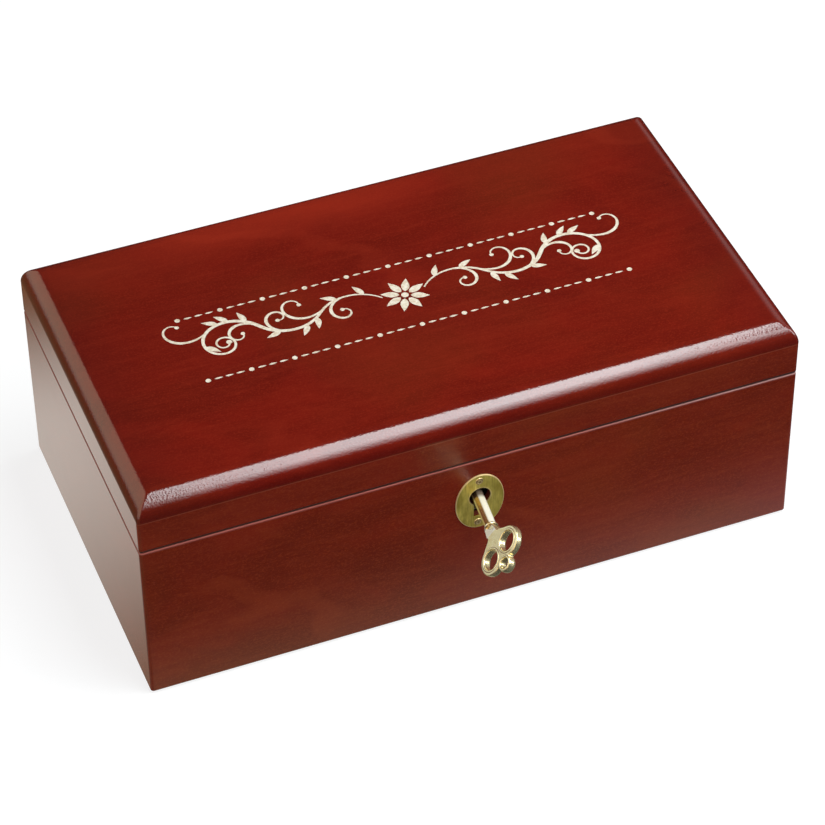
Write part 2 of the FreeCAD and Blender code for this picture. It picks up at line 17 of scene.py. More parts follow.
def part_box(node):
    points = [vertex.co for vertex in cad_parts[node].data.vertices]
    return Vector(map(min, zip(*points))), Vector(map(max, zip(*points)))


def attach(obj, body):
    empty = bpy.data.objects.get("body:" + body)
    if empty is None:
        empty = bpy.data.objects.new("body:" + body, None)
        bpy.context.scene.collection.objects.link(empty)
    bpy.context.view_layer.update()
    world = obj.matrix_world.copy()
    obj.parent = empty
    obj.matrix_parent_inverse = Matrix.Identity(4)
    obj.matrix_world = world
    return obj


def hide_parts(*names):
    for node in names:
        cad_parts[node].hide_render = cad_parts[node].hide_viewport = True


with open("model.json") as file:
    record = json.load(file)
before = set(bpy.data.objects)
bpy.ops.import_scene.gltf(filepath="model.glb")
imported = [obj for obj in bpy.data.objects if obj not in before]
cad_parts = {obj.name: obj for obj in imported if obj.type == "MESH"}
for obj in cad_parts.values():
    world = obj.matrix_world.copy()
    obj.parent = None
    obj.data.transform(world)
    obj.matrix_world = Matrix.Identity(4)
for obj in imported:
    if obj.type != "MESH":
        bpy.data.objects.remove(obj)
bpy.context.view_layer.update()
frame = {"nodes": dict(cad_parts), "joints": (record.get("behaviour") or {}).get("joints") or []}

MM = 0.001
nodes = frame["nodes"]
joints = {joint["name"]: joint for joint in frame["joints"]}

# %% [markdown]
# ## Small helpers
# Every piece ends as a plain mesh whose object sits at the origin, so that a pattern made on
# Object coordinates stays where it is.  One function makes such a mesh, and another says which
# body the piece rides on and which construction node it stands for.


# %% Make a piece from points and faces
def add_object(name, data):
    thing = bpy.data.objects.new(name, data)
    bpy.context.scene.collection.objects.link(thing)
    return thing


def mesh_object(name, points, faces, smooth_angle=35.0):
    mesh = bpy.data.meshes.new(name)
    mesh.from_pydata([tuple(p) for p in points], [], [tuple(f) for f in faces])
    return closed_object(name, mesh, smooth_angle)


def closed_object(name, mesh, smooth_angle):
    """Merge doubles, drop loose points, point the faces outwards and shade the soft edges smooth."""
    shell = bmesh.new()
    shell.from_mesh(mesh)
    bmesh.ops.remove_doubles(shell, verts=shell.verts, dist=0.002 * MM)
    bmesh.ops.delete(shell, geom=[v for v in shell.verts if not v.link_faces], context="VERTS")
    bmesh.ops.recalc_face_normals(shell, faces=shell.faces)
    shell.to_mesh(mesh)
    shell.free()
    mesh.shade_smooth()
    mesh.set_sharp_from_angle(angle=math.radians(smooth_angle))
    return add_object(name, mesh)


def finished_mesh(holder):
    """A helper object's own mesh after its modifiers; the helper is removed."""
    made = bpy.data.meshes.new_from_object(holder.evaluated_get(bpy.context.evaluated_depsgraph_get()))
    bpy.data.objects.remove(holder)
    return made


def separate_solids(node):
    """The points of each solid in a construction node, in millimetres, one array each."""
    shell = bmesh.new()
    shell.from_mesh(nodes[node].data)
    bmesh.ops.remove_doubles(shell, verts=shell.verts, dist=0.001 * MM)
    waiting, solids = set(shell.verts), []
    while waiting:
        stack, found = [waiting.pop()], []
        while stack:
            vertex = stack.pop()
            found.append(vertex.co / MM)
            fresh = [edge.other_vert(vertex) for edge in vertex.link_edges]
            fresh = [v for v in fresh if v in waiting]
            waiting.difference_update(fresh)
            stack += fresh
        solids.append(np.array(found))
    shell.free()
    return sorted(solids, key=lambda solid: tuple(solid.min(0).round(3)))


def cover(piece, material):
    piece.data.materials.clear()
    piece.data.materials.append(material)


def fit_piece(piece, material, body, slot, *stands_for):
    cover(piece, material)
    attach(piece, body)
    if stands_for:
        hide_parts(*stands_for)
    print(piece.name, "faces:", len(piece.data.polygons), "on", body)


# %% [markdown]
# ## The camera
# The view is a long lens from the front left, a little over forty degrees up, with a trace of
# roll.  The camera's three axes are worked out from those angles.

# %% Place the camera
camera_place = Vector((-334.5, -882.2, 903.4)) * MM
camera_azimuth = math.radians(-20.896)
camera_elevation = math.radians(42.662)
camera_roll = math.radians(-0.701)
camera_sensor = 36.0
focal_in_widths = 4.2252

backward = Vector((math.sin(camera_azimuth) * math.cos(camera_elevation),
                   -math.cos(camera_azimuth) * math.cos(camera_elevation),
                   math.sin(camera_elevation)))
level_right = Vector((math.cos(camera_azimuth), math.sin(camera_azimuth), 0))
level_up = backward.cross(level_right)
right = level_right * math.cos(camera_roll) + level_up * math.sin(camera_roll)
up = level_up * math.cos(camera_roll) - level_right * math.sin(camera_roll)
camera_data = bpy.data.cameras.new("camera")
camera_data.sensor_width = camera_sensor
camera_data.lens = focal_in_widths * camera_sensor
camera_data.clip_start, camera_data.clip_end = 0.05, 50
camera = add_object("camera", camera_data)
camera_axes = Matrix((right, up, backward)).transposed().to_4x4()
camera.matrix_world = Matrix.Translation(camera_place) @ camera_axes
bpy.context.scene.camera = camera
print("lens", round(camera_data.lens, 1), "mm")

# %% [markdown]
# ## Writing materials as expressions
# A material is a graph of nodes.  Joining nodes by hand hides the idea, so a small class wraps a
# socket: `1 - mask` or `a * b` on it adds the Math node that does the sum.  Everything else comes
# from one method that takes a node's type, its settings and its inputs.


# %% The expression helper
class Value:
    """A number, colour or vector on its way through a graph."""

    def __init__(self, graph, socket):
        self.graph, self.socket = graph, socket

    def math(self, operation, *values):
        return self.graph.node("ShaderNodeMath", {"operation": operation}, dict(enumerate(values)))

    def __add__(self, other):
        return self.math("ADD", self, other)

    def __sub__(self, other):
        return self.math("SUBTRACT", self, other)

    def __rsub__(self, other):
        return self.math("SUBTRACT", other, self)

    def __mul__(self, other):
        return self.math("MULTIPLY", self, other)

    def __abs__(self):
        return self.math("ABSOLUTE", self)

    def between(self, low, high):
        """0 below low, 1 above high and a soft step from one to the other."""
        settings = {"interpolation_type": "SMOOTHSTEP"}
        return self.graph.node("ShaderNodeMapRange", settings, {0: self, 1: low, 2: high})

    def band(self, low, full, fading, gone):
        """0 below low, 1 from full to fading and 0 again above gone."""
        return self.between(low, full) * (1 - self.between(fading, gone))

    __radd__ = __add__
    __rmul__ = __mul__


class Graph:
    """A shader node tree, with one method that adds any node."""

    def __init__(self, tree):
        self.tree = tree

    def node(self, kind, settings, inputs, output=0):
        made = self.tree.nodes.new(kind)
        for name, value in settings.items():
            setattr(made, name, value)
        for name, value in inputs.items():
            if isinstance(value, Value):
                self.tree.links.new(value.socket, made.inputs[name])
            else:
                made.inputs[name].default_value = value
        return Value(self, made.outputs[output])

    def ray(self, kind):
        """1 for rays of one kind, such as Camera or Glossy, and 0 for the others."""
        return self.node("ShaderNodeLightPath", {}, {}, f"Is {kind} Ray")

    def colour(self, red, green, blue):
        return self.node("ShaderNodeCombineColor", {}, {0: red, 1: green, 2: blue})

    def place(self, scale=(1, 1, 1), turn=(0, 0, 0), shift=(0, 0, 0)):
        """Object coordinates, shifted, turned and stretched."""
        here = self.node("ShaderNodeTexCoord", {}, {}, "Object")
        return self.node("ShaderNodeMapping", {},
                         {"Vector": here, "Scale": scale, "Rotation": turn, "Location": shift})

    def along(self, axis):
        return self.node("ShaderNodeSeparateXYZ", {}, {0: self.place()}, axis)

    def dot_product(self, vector, direction):
        return self.node("ShaderNodeVectorMath", {"operation": "DOT_PRODUCT"},
                         {0: vector, 1: tuple(direction)}, "Value")

    def facing(self, direction):
        """How squarely the surface looks along a direction that is fixed in the piece, from -1 to 1."""
        return self.dot_product(self.node("ShaderNodeTexCoord", {}, {}, "Normal"), direction)

    def length(self, vector):
        return self.node("ShaderNodeVectorMath", {"operation": "LENGTH"}, {0: vector}, "Value")

    def from_key(self):
        """The distance from the key's axis, seen from the front."""
        axis = Vector(joints["key_turn"]["pos_m"])
        return self.length(self.place(scale=(1, 0, 1), shift=(-axis.x, 0, -axis.z)))

    def noise(self, place, scale, detail=2.0, roughness=0.5, distortion=0.0):
        return self.node("ShaderNodeTexNoise", {}, {
            "Vector": place, "Scale": scale, "Detail": detail, "Roughness": roughness,
            "Distortion": distortion}, "Fac")

    def mix(self, factor, first, second):
        return self.node("ShaderNodeMix", {"data_type": "RGBA"}, {0: factor, 6: first, 7: second}, 2)

    def over(self, base, *layers):
        """Each layer is a mask and a colour, laid over what comes before it."""
        for mask, colour in layers:
            base = self.mix(mask, base, colour)
        return base

    def bump(self, height, distance):
        return self.node("ShaderNodeBump", {}, {"Height": height, "Distance": distance, "Strength": 1.0})


class Finish(Graph):
    """A material with one Principled shader, whose constants are set on the shader itself."""

    def __init__(self, name, **constants):
        self.material = bpy.data.materials.new(name)
        self.material.use_nodes = True
        super().__init__(self.material.node_tree)
        self.shader = self.tree.nodes["Principled BSDF"]
        for socket, value in constants.items():
            self.shader.inputs[socket.replace("_", " ")].default_value = value

    def feed(self, **values):
        for name, value in values.items():
            self.tree.links.new(value.socket, self.shader.inputs[name.replace("_", " ")])
        return self.material


# %% [markdown]
# ## The studio
# A pale floor, a softbox over the box that fades towards the front, and a big warm wall on the
# left, which is part of the sky.  The softbox is what the rounded edge of the lid mirrors as its
# white stripe.  Gloss shows what stands around a thing, so the floor has three looks.  To the
# camera it is white, and as a source of bounced light it is mid grey.  In a mirror it is dark but
# for two patches that glow there though they are no lamps: a warm one on the left, and one round
# the box's foot, at the front, right and back, which is warm at its left end and whiter towards
# the right.  The box's lacquer mirrors them as a sheen.

# %% The floor
FLOOR_REACH = 12.0
BOUNCE = 0.6
SEEN_ALBEDO, SEEN_WHITE = 0.30, 0.78
MIRRORED_ALBEDO = 0.015
foot_low, foot_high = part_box("base_felt")

GLOW_LEVEL, GLOW_MORE_RIGHT, GLOW_WIDTH = 0.83, 0.20, 60 * MM
GLOW_TINTS = [(1.0, 0.0), (0.89, 0.0), (0.54, 0.34)]  # on the left, and how much more on the right
GLOW_LEFT_END = (foot_low.x - 2 * MM, foot_low.x)
GLOW_RIGHT_END = (foot_high.x + 25 * MM, foot_high.x + 90 * MM)
GLOW_WHITENS = (foot_low.x, foot_high.x + 30 * MM)
GLOW_Y = (foot_low.y - GLOW_WIDTH, foot_low.y + 20 * MM, foot_high.y - 20 * MM, foot_high.y + GLOW_WIDTH)

# a warm patch of floor left of the box that glows in mirrors only, though it is no lamp
LEFT_GLOW_START, LEFT_GLOW = 0.24, 0.79
LEFT_GLOW_TINTS = [(1.0, 0.0), (1.04, 0.13), (1.0, 0.19)]  # gain, and what is taken off
LEFT_GLOW_X = (foot_low.x - 94 * MM, foot_low.x - 14 * MM)
LEFT_GLOW_Y = (foot_low.y - 34 * MM, foot_high.y + 8 * MM, foot_high.y + 10 * MM, foot_high.y + 100 * MM)


def studio_floor():
    ground = Finish("studio_floor", Roughness=1.0, Specular_IOR_Level=0.0, Emission_Strength=1.0)
    seen, mirrored = ground.ray("Camera"), ground.ray("Glossy")
    x, y = ground.along("X"), ground.along("Y")
    on_left = 1 - x.between(*GLOW_LEFT_END)
    rightward = x.between(*GLOW_WHITENS)
    near = y.band(*GLOW_Y) * (1 - x.between(*GLOW_RIGHT_END))
    front = near * near * (GLOW_LEVEL + rightward * GLOW_MORE_RIGHT)
    left_glow = LEFT_GLOW_START + y.band(*LEFT_GLOW_Y) * x.between(*LEFT_GLOW_X) * LEFT_GLOW
    albedo = BOUNCE + seen * (SEEN_ALBEDO - BOUNCE) + mirrored * (MIRRORED_ALBEDO - BOUNCE)
    glow = []
    for (left, more_right), (gain, less) in zip(GLOW_TINTS, LEFT_GLOW_TINTS):
        strip = front * (left + rightward * more_right)
        shine = strip + on_left * (left_glow.math("MAXIMUM", left_glow * gain - less, 0.0) - strip)
        glow.append(seen * SEEN_WHITE + mirrored * shine)
    return ground.feed(Base_Color=ground.colour(albedo, albedo, albedo), Emission_Color=ground.colour(*glow))


corners = [(-FLOOR_REACH, -FLOOR_REACH, 0), (FLOOR_REACH, -FLOOR_REACH, 0),
           (FLOOR_REACH, FLOOR_REACH, 0), (-FLOOR_REACH, FLOOR_REACH, 0)]
floor = mesh_object("floor", corners, [(0, 1, 2, 3)])
cover(floor, studio_floor())
print("floor from", -FLOOR_REACH, "to", FLOOR_REACH, "m")


# %% The lights and the sky
def area_light(name, centre, target, size, radiance, tint=(1, 1, 1)):
    light = bpy.data.lights.new(name, "AREA")
    light.shape = "RECTANGLE"
    light.size, light.size_y = size
    light.energy = radiance * math.pi * size[0] * size[1]
    light.color = tint
    holder = add_object(name, light)
    facing = (Vector(centre) - Vector(target)).to_track_quat("Z", "Y")
    holder.matrix_world = Matrix.Translation(centre) @ facing.to_matrix().to_4x4()
    holder.visible_camera = False
    print(name, round(light.energy, 2), "W")


SOFTBOX_HEIGHT = 1.15
SOFTBOX_TINT = (0.94, 1.0, 1.02)
SOFTBOX = [  # left, right, back, front, radiance
    (0.02, 0.28, 0.25, -0.58, 5.4), (0.28, 0.62, 0.25, -0.58, 7.0),
    (0.02, 0.95, -0.58, -0.74, 5.0), (0.02, 0.95, -0.74, -0.90, 3.8), (0.02, 0.95, -0.90, -1.10, 2.7),
    (0.02, 0.95, -1.10, -1.35, 1.6), (0.02, 0.95, -1.35, -1.70, 0.8)]
for number, (x0, x1, back, front, radiance) in enumerate(SOFTBOX):
    x, y = (x0 + x1) / 2, (back + front) / 2
    area_light(f"softbox_{number}", (x, y, SOFTBOX_HEIGHT), (x, y, 0), (x1 - x0, back - front),
               radiance, SOFTBOX_TINT)
area_light("right_box", centre=(1.15, -0.65, 0.75), target=(0, 0, 0.05), size=(0.5, 0.6), radiance=6.0)

WALL_LEVEL, WALL_MIRRORED = 0.60, 0.84
RIGHT_LEVEL, SKY_LEVEL, SKY_SEEN = 0.35, 0.03, 1.0
WALL_TINT = (1.27, 1.0, 0.73)
WALL_STARTS, WALL_RISES = (-0.27, -0.17), (-0.25, 0.25)  # the ray's direction, sideways and upwards
RIGHT_STARTS, RIGHT_RISES = (0.5, 0.7), (-0.1, 0.2)
world = bpy.data.worlds.new("sky")
bpy.context.scene.world = world
world.use_nodes = True
sky = Graph(world.node_tree)
background = world.node_tree.nodes["Background"]
towards = sky.node("ShaderNodeTexCoord", {}, {}, "Generated")
sideways = sky.node("ShaderNodeSeparateXYZ", {}, {0: towards}, "X")
upwards = sky.node("ShaderNodeSeparateXYZ", {}, {0: towards}, "Z")
wall = (1 - sideways.between(*WALL_STARTS)) * upwards.between(*WALL_RISES)
opposite = sideways.between(*RIGHT_STARTS) * upwards.between(*RIGHT_RISES)
seen, mirrored = sky.ray("Camera"), sky.ray("Glossy")
level = SKY_LEVEL + opposite * RIGHT_LEVEL + wall * (WALL_LEVEL + mirrored * (WALL_MIRRORED - WALL_LEVEL))
level = level + seen * (SKY_SEEN - level)
tints = [1 + wall * mirrored * (tint - 1) for tint in WALL_TINT]
world.node_tree.links.new(sky.colour(*tints).socket, background.inputs["Color"])
world.node_tree.links.new(level.socket, background.inputs["Strength"])
bpy.context.scene.view_settings.view_transform = "Standard"
print("sky level", SKY_LEVEL, "and wall level", WALL_LEVEL)

# %% [markdown]
# ## Mahogany-red lacquer
# The wood under the lacquer is stained dark red.  Its grain is a noise stretched along the board,
# in three sizes: broad clouds, streaks, and pores a few millimetres long.  Here and there the
# year rings cross the surface as paler wavy lines.  The lacquer over it is smooth but for a slight
# ripple, which shows only in its highlights, so the ripple is a bump and the pores are not.  On
# the lid's flat top the ripple is rubbed down.
#
# Some light and shade is painted into the colour.  The rim's sharp edge at the seam is matt,
# with a painted highlight that is paler to the right and painted shade in the seam above it.  The
# rounded lid board stands on a fine painted highlight at its crease and has a foot of painted
# shade.  Its ends carry painted shade, as does the keyhole's mouth, and near the back, on the
# left, the top is paler.  The long boards' colour carries some painted sheen.

# %% The lacquer
STRETCH = {"X": lambda amount: (1, amount, amount), "Y": lambda amount: (amount, 1, amount)}
WOOD = [(0.128, 0.0052, 0.0018), (0.176, 0.0072, 0.0026), (0.265, 0.0200, 0.0070), (0.160, 0.0170, 0.0040)]
# painted shade: the keyhole's mouth is painted dark where shade falls
KEYHOLE_SHADE = (0.02, 0.006, 0.003, 1)
# painted shade, laid in the seam under the lid and on the lid board's ends
PAINTED_SHADE_RED = (0.030, 0.006, 0.004, 1)
# painted highlight on the rim's arris at the seam, paler to the right
ARRIS_HIGHLIGHT, ARRIS_HIGHLIGHT_RIGHT = (0.50, 0.12, 0.09, 1), (0.52, 0.27, 0.25, 1)
# painted shade at the foot of the lid board's round-over
FOOT_SHADE = (0.060, 0.001, 0.001, 1)
# painted highlight along the crease under the round-over
CREASE_HIGHLIGHT = (0.26, 0.06, 0.03, 1)
# a paler colour for the lid's top near the back, on the left
BACK_PALE_RED = (0.36, 0.026, 0.009, 1)

board_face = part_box("front_wall")[0].y
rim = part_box("front_wall")[1].z
rail_low, rail_high = (corner.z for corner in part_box("lid_front_rail"))
EDGE_MATT = (rim - 0.85 * MM, rim - 0.6 * MM, rail_low + 0.8 * MM, rail_low + 1.2 * MM)
ARRIS_HIGHLIGHT_BAND = (rim - 0.50 * MM, rim - 0.25 * MM, rim, rim + 0.05 * MM)
SEAM_SHADE = (rim + 0.05 * MM, rim + 0.12 * MM, rail_low + 0.8 * MM, rail_low + 1.3 * MM)
FOOT = (rail_high - 0.8 * MM, rail_high - 0.5 * MM, rail_high + 0.6 * MM, rail_high + 4.5 * MM)
CREASE = (rail_high - 1.2 * MM, rail_high - 0.9 * MM, rail_high - 0.8 * MM, rail_high - 0.5 * MM)
ARRIS_HIGHLIGHT_BRIGHTENS = (20 * MM, 90 * MM)
ENDS = (92 * MM, 118 * MM)
PALE_PATCH_LEFT, PALE_PATCH_FADES, PALE_PATCH_BACK = 25 * MM, (20 * MM, 85 * MM), (40 * MM, 60 * MM)
MOUTH_RADIUS = (11 * MM, 12 * MM)
MOUTH_STARTS, MOUTH_ENDS = (board_face + 0.3 * MM, board_face + 1.0 * MM), (-50 * MM, -40 * MM)


def stained_wood(wood, stretched, speckle, tone_and_sheen):
    """Clouds, streaks, year rings, fibres, speckle and pores, one over another."""
    dark, red, figure, stain = (tuple(c * t for c, t in zip(colour, tone_and_sheen)) + (1,) for colour in WOOD)
    blotches = wood.noise(stretched(1.7), 21.0, 4.0, 0.55, 0.9)
    brown = wood.noise(stretched(1.3), 11.0, 2.0, 0.5, 0.3)
    streaks = wood.noise(stretched(8.0), 42.0, 4.0, 0.62, 0.5)
    fibres = wood.noise(stretched(11.0), 260.0, 2.0, 0.6)
    pores = wood.noise(stretched(9.0), 420.0, 1.0, 0.5)
    rings = wood.node("ShaderNodeTexWave", {"bands_direction": "DIAGONAL"}, {
        "Vector": stretched(1.4), "Scale": 11.0, "Distortion": 9.0, "Detail": 3.0,
        "Detail Scale": 1.1, "Detail Roughness": 0.5}, "Fac")
    patches = wood.noise(stretched(1.2), 13.0, 1.0).between(0.50, 0.66)
    return wood.over(
        dark,
        (blotches.between(0.32, 0.70), red),
        (brown.between(0.48, 0.72) * 0.55, stain),
        (streaks.between(0.42, 0.78) * 0.24, figure),
        (rings.between(0.80, 1.0) * patches * 0.35, figure),
        ((1 - rings).between(0.88, 1.0) * patches * 0.35, dark),
        (fibres.between(0.45, 0.75) * 0.18, figure),
        (speckle.between(0.48, 0.70) * 0.40, figure),
        (pores.between(0.62, 0.74) * 0.45, dark))


def lacquer(name, along, seed, gloss, grain, tone_and_sheen, end_shade=0.0, back_paleness=0.0):
    """Boards differ in gloss (IOR and roughness), in how gritty the lacquer is (grain) and in colour.

    The long boards' colour carries painted sheen.  The lid board gets painted shade at its ends, by
    end_shade, and is paler near the back, on the left, by the last argument.
    """
    ior, roughness = gloss
    wood = Finish(name, IOR=ior)
    start = (seed, 2 * seed, 3 * seed)

    def stretched(amount):
        return wood.place(scale=STRETCH[along](amount), shift=start)

    x, y, height = wood.along("X"), wood.along("Y"), wood.along("Z")
    upward = wood.facing((0, 0, 1))
    speckle = wood.noise(stretched(1.5), 1300.0, 2.0, 0.6)
    ripple = wood.noise(wood.place(shift=start), 520.0, 2.0, 0.55)
    peel = wood.noise(wood.place(shift=start), 90.0, 1.0)
    grit = wood.noise(wood.place(shift=start), 1500.0, 1.0, 0.6)
    rubbed_down = 1 - upward.between(0.95, 0.995) * 0.75
    inside = 1 - wood.from_key().between(*MOUTH_RADIUS)
    mouth = y.between(*MOUTH_STARTS) * inside * (1 - y.between(*MOUTH_ENDS))
    thin = y.between(*PALE_PATCH_BACK) * (1 - abs(x + PALE_PATCH_LEFT).between(*PALE_PATCH_FADES) * 0.85)
    upright = 1 - abs(upward).between(0.90, 0.98)
    arris_highlight_colour = wood.mix(x.between(*ARRIS_HIGHLIGHT_BRIGHTENS), ARRIS_HIGHLIGHT, ARRIS_HIGHLIGHT_RIGHT)
    colour = wood.over(
        stained_wood(wood, stretched, speckle, tone_and_sheen),
        # painted shade in the keyhole's mouth
        (mouth * 0.15, KEYHOLE_SHADE),
        # painted shade at the lid board's ends
        (abs(x).between(*ENDS) * end_shade, PAINTED_SHADE_RED),
        # the top made paler near the back, on the left
        (thin * back_paleness, BACK_PALE_RED),
        # painted highlight on the rim's arris
        (height.band(*ARRIS_HIGHLIGHT_BAND) * upright * 0.75, arris_highlight_colour),
        # painted shade in the seam above the rim's arris
        (height.band(*SEAM_SHADE) * upright * 0.9, PAINTED_SHADE_RED),
        # painted shade at the round-over's foot
        (height.band(*FOOT) * 0.5, FOOT_SHADE),
        # painted highlight on the crease
        (height.band(*CREASE) * 0.4, CREASE_HIGHLIGHT))
    return wood.feed(Base_Color=colour,
                     Roughness=roughness + speckle * 0.05 + mouth * 0.6 + height.band(*EDGE_MATT) * 0.35,
                     Normal=wood.bump((ripple + peel * 3.0 + grit * grain) * rubbed_down, 0.012 * MM))


lacquer_top = lacquer("lacquer_top", "X", 0.37, (1.8, 0.09), 5.0, (0.97, 0.98, 0.95), 0.22, 0.45)
# the long boards' raised green is painted sheen, standing in for the haze on their faces
lacquer_long = lacquer("lacquer_long", "X", 0.81, (1.55, 0.20), 3.0, (0.98, 1.6, 0.9))
lacquer_short = lacquer("lacquer_short", "Y", 1.21, (1.8, 0.12), 2.0, (0.98, 1.05, 1.0))
for node in ("front_wall", "back_wall", "lid_front_rail", "lid_back_rail"):
    cover(nodes[node], lacquer_long)
for node in ("left_wall", "right_wall", "lid_left_rail", "lid_right_rail"):
    cover(nodes[node], lacquer_short)
print("lacquered boards: 8")

# %% [markdown]
# ## Metals
# The key is cast brass, polished by tumbling on its rims and sides.  The faces of its bow stay
# sandy: they scatter light nearly as paint does, so there the metallic share is low.  The keyhole
# plate is rolled brass, brushed upright and darker.  The lock inside is plain steel.


# %% Where the key's own axes point
def key_to_world():
    """Where the key's own axes point, from its joint and its turn in the lock."""
    joint = joints["key_turn"]
    out = -Vector(joint["axis"]).normalized()
    turned_by = math.radians(90 + joint["range_deg"][0])
    across = Vector((math.cos(turned_by), 0, math.sin(turned_by)))
    across = (across - out * across.dot(out)).normalized()
    through = out.cross(across)
    turn = Matrix((out, across, through)).transposed().to_4x4()
    return Matrix.Translation(joint["pos_m"]) @ turn @ Matrix.Diagonal((MM, MM, MM, 1))


print("the bow faces", [round(c, 2) for c in key_to_world().to_3x3().col[2].normalized()])


# %% The metals
SHANK_END, NECK_END = (21.6 * MM, 21.9 * MM), (25.8 * MM, 26.2 * MM)
COLLAR_SHADOW = (22.5 * MM, 22.7 * MM, 23.0 * MM, 23.4 * MM)
LOCK_DARK = (7.0 * MM, 9.3 * MM)


def cast_brass():
    """Sandy on the faces of the bow and polished on its rims.

    The shank carries painted highlights and a painted reflection, the neck's facet a painted
    highlight, and the collar's groove and the part in the lock painted shade.
    """
    brass = Finish("cast_brass")
    turn = key_to_world()
    out, across, through = (turn.to_3x3().col[k].normalized() for k in range(3))
    reach = brass.dot_product(brass.place(), out) - turn.translation.dot(out)
    shank = 1 - reach.between(*SHANK_END)
    neck = 1 - reach.between(*NECK_END)
    lock_shade = 1 - reach.between(*LOCK_DARK)
    squarely = abs(brass.facing(through))
    sandy = squarely.between(0.90, 0.985) * (1 - shank)
    web = squarely.between(0.990, 0.998)
    edgeways = brass.facing(across)
    # painted highlights on the shank, by the way its surface faces: a pale stripe on one side, a golden line
    # on the other
    shank_highlight = edgeways.between(0.50, 0.72) * shank
    shank_left_sheen = (1 - edgeways.between(-0.28, -0.08)) * shank
    sand = brass.noise(brass.place(), 1300.0, 3.0, 0.65)
    waves = brass.noise(brass.place(), 380.0, 2.0, 0.5)
    grime = brass.noise(brass.place(), 800.0, 3.0, 0.7).between(0.42, 0.66)
    colour = brass.over(
        (0.97, 0.86, 0.50, 1),
        (sandy, (1.0, 0.95, 0.62, 1)),
        (web * 0.25 + grime * web * 0.5, (0.88, 0.74, 0.30, 1)),
        # painted highlight: the neck's facet is painted nearly white
        (sandy * neck * (1 - web), (1.0, 0.98, 0.88, 1)),
        # painted reflection: the shank's brown stands in for the red wood it mirrors
        (shank * 0.8, (0.62, 0.40, 0.12, 1)),
        (shank_highlight, (0.88, 0.83, 0.68, 1)),
        (shank_left_sheen, (1.0, 0.84, 0.30, 1)),
        # painted shadow in the groove after the collar
        (reach.band(*COLLAR_SHADOW) * 0.8, (0.25, 0.13, 0.05, 1)),
        # painted shade on the part of the key inside the lock
        (lock_shade * 0.9, (0.12, 0.07, 0.04, 1)))
    matt = sandy + shank_highlight + shank_left_sheen
    return brass.feed(Base_Color=colour, Metallic=0.85 - matt * 0.79,
                      Roughness=0.17 + sandy * 0.30 + waves * 0.08,
                      Normal=brass.bump(waves * 1.5 + sand * sandy * 3.0, 0.10 * MM))


def brushed_brass():
    """Upright strokes, cloudy stains, and a painted highlight along the edge round the plate and its
    keyhole.
    """
    plate = Finish("brushed_brass", Metallic=0.45)
    low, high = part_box("escutcheon")
    middle, half = (low + high) / 2, (high - low) / 2
    to_edge = Matrix.Diagonal((1 / half.x, 0, 1 / half.z))
    out = plate.length(plate.place(scale=(1 / half.x, 0, 1 / half.z), shift=-(to_edge @ middle)))
    # painted highlight on the plate's edge and round its keyhole
    edge_highlight = out.between(0.965, 0.98) + (1 - plate.from_key().between(4.3 * MM, 4.6 * MM)) * 0.6
    strokes = plate.noise(plate.place(scale=(1, 1, 0.03)), 3600.0, 3.0, 0.7)
    stains = plate.noise(plate.place(scale=(1, 1, 0.5)), 190.0, 3.0, 0.6)
    colour = plate.over(
        (0.38, 0.29, 0.042, 1),
        (stains.between(0.35, 0.7), (0.74, 0.60, 0.13, 1)),
        (strokes.between(0.42, 0.70) * 0.75, (0.25, 0.19, 0.03, 1)),
        (edge_highlight * 0.8, (0.90, 0.68, 0.34, 1)))
    return plate.feed(Base_Color=colour, Roughness=0.3 + strokes * 0.15,
                      Normal=plate.bump(strokes, 0.012 * MM))


def turned_brass(name, metallic, bright, dull, dimple_from=None):
    """Brass that was turned or rolled; dimple_from is the Y behind which a front face lies in a dimple."""
    brass = Finish(name, Metallic=metallic)
    scratches = brass.noise(brass.place(scale=(0.05, 1, 1)), 3000.0, 2.0, 0.6)
    tarnish = brass.noise(brass.place(), 120.0, 4.0, 0.65).between(0.45, 0.8)
    colour = brass.mix(tarnish, bright, dull)
    if dimple_from is not None:
        deep = brass.along("Y").between(dimple_from, dimple_from + 0.1 * MM)
        dimple = brass.facing((0, -1, 0)).between(0.55, 0.75) * deep
        colour = brass.mix(dimple * 0.85, colour, (0.16, 0.09, 0.03, 1))
    return brass.feed(Base_Color=colour, Roughness=0.24 + tarnish * 0.18,
                      Normal=brass.bump(scratches, 0.01 * MM))


def lock_steel():
    """Rolled steel with stains, nearly black round the key, where no light gets in."""
    steel = Finish("lock_steel", Metallic=1.0)
    rolled = steel.noise(steel.place(scale=(0.04, 1, 1)), 2500.0, 3.0, 0.6)
    stain = steel.noise(steel.place(), 90.0, 4.0, 0.6)
    colour = steel.over(
        (0.50, 0.49, 0.47, 1),
        (stain.between(0.4, 0.75), (0.30, 0.27, 0.23, 1)),
        (1 - steel.from_key().between(9 * MM, 13 * MM), (0.03, 0.024, 0.018, 1)))
    return steel.feed(Base_Color=colour, Roughness=0.32 + rolled * 0.2, Normal=steel.bump(rolled, 0.01 * MM))


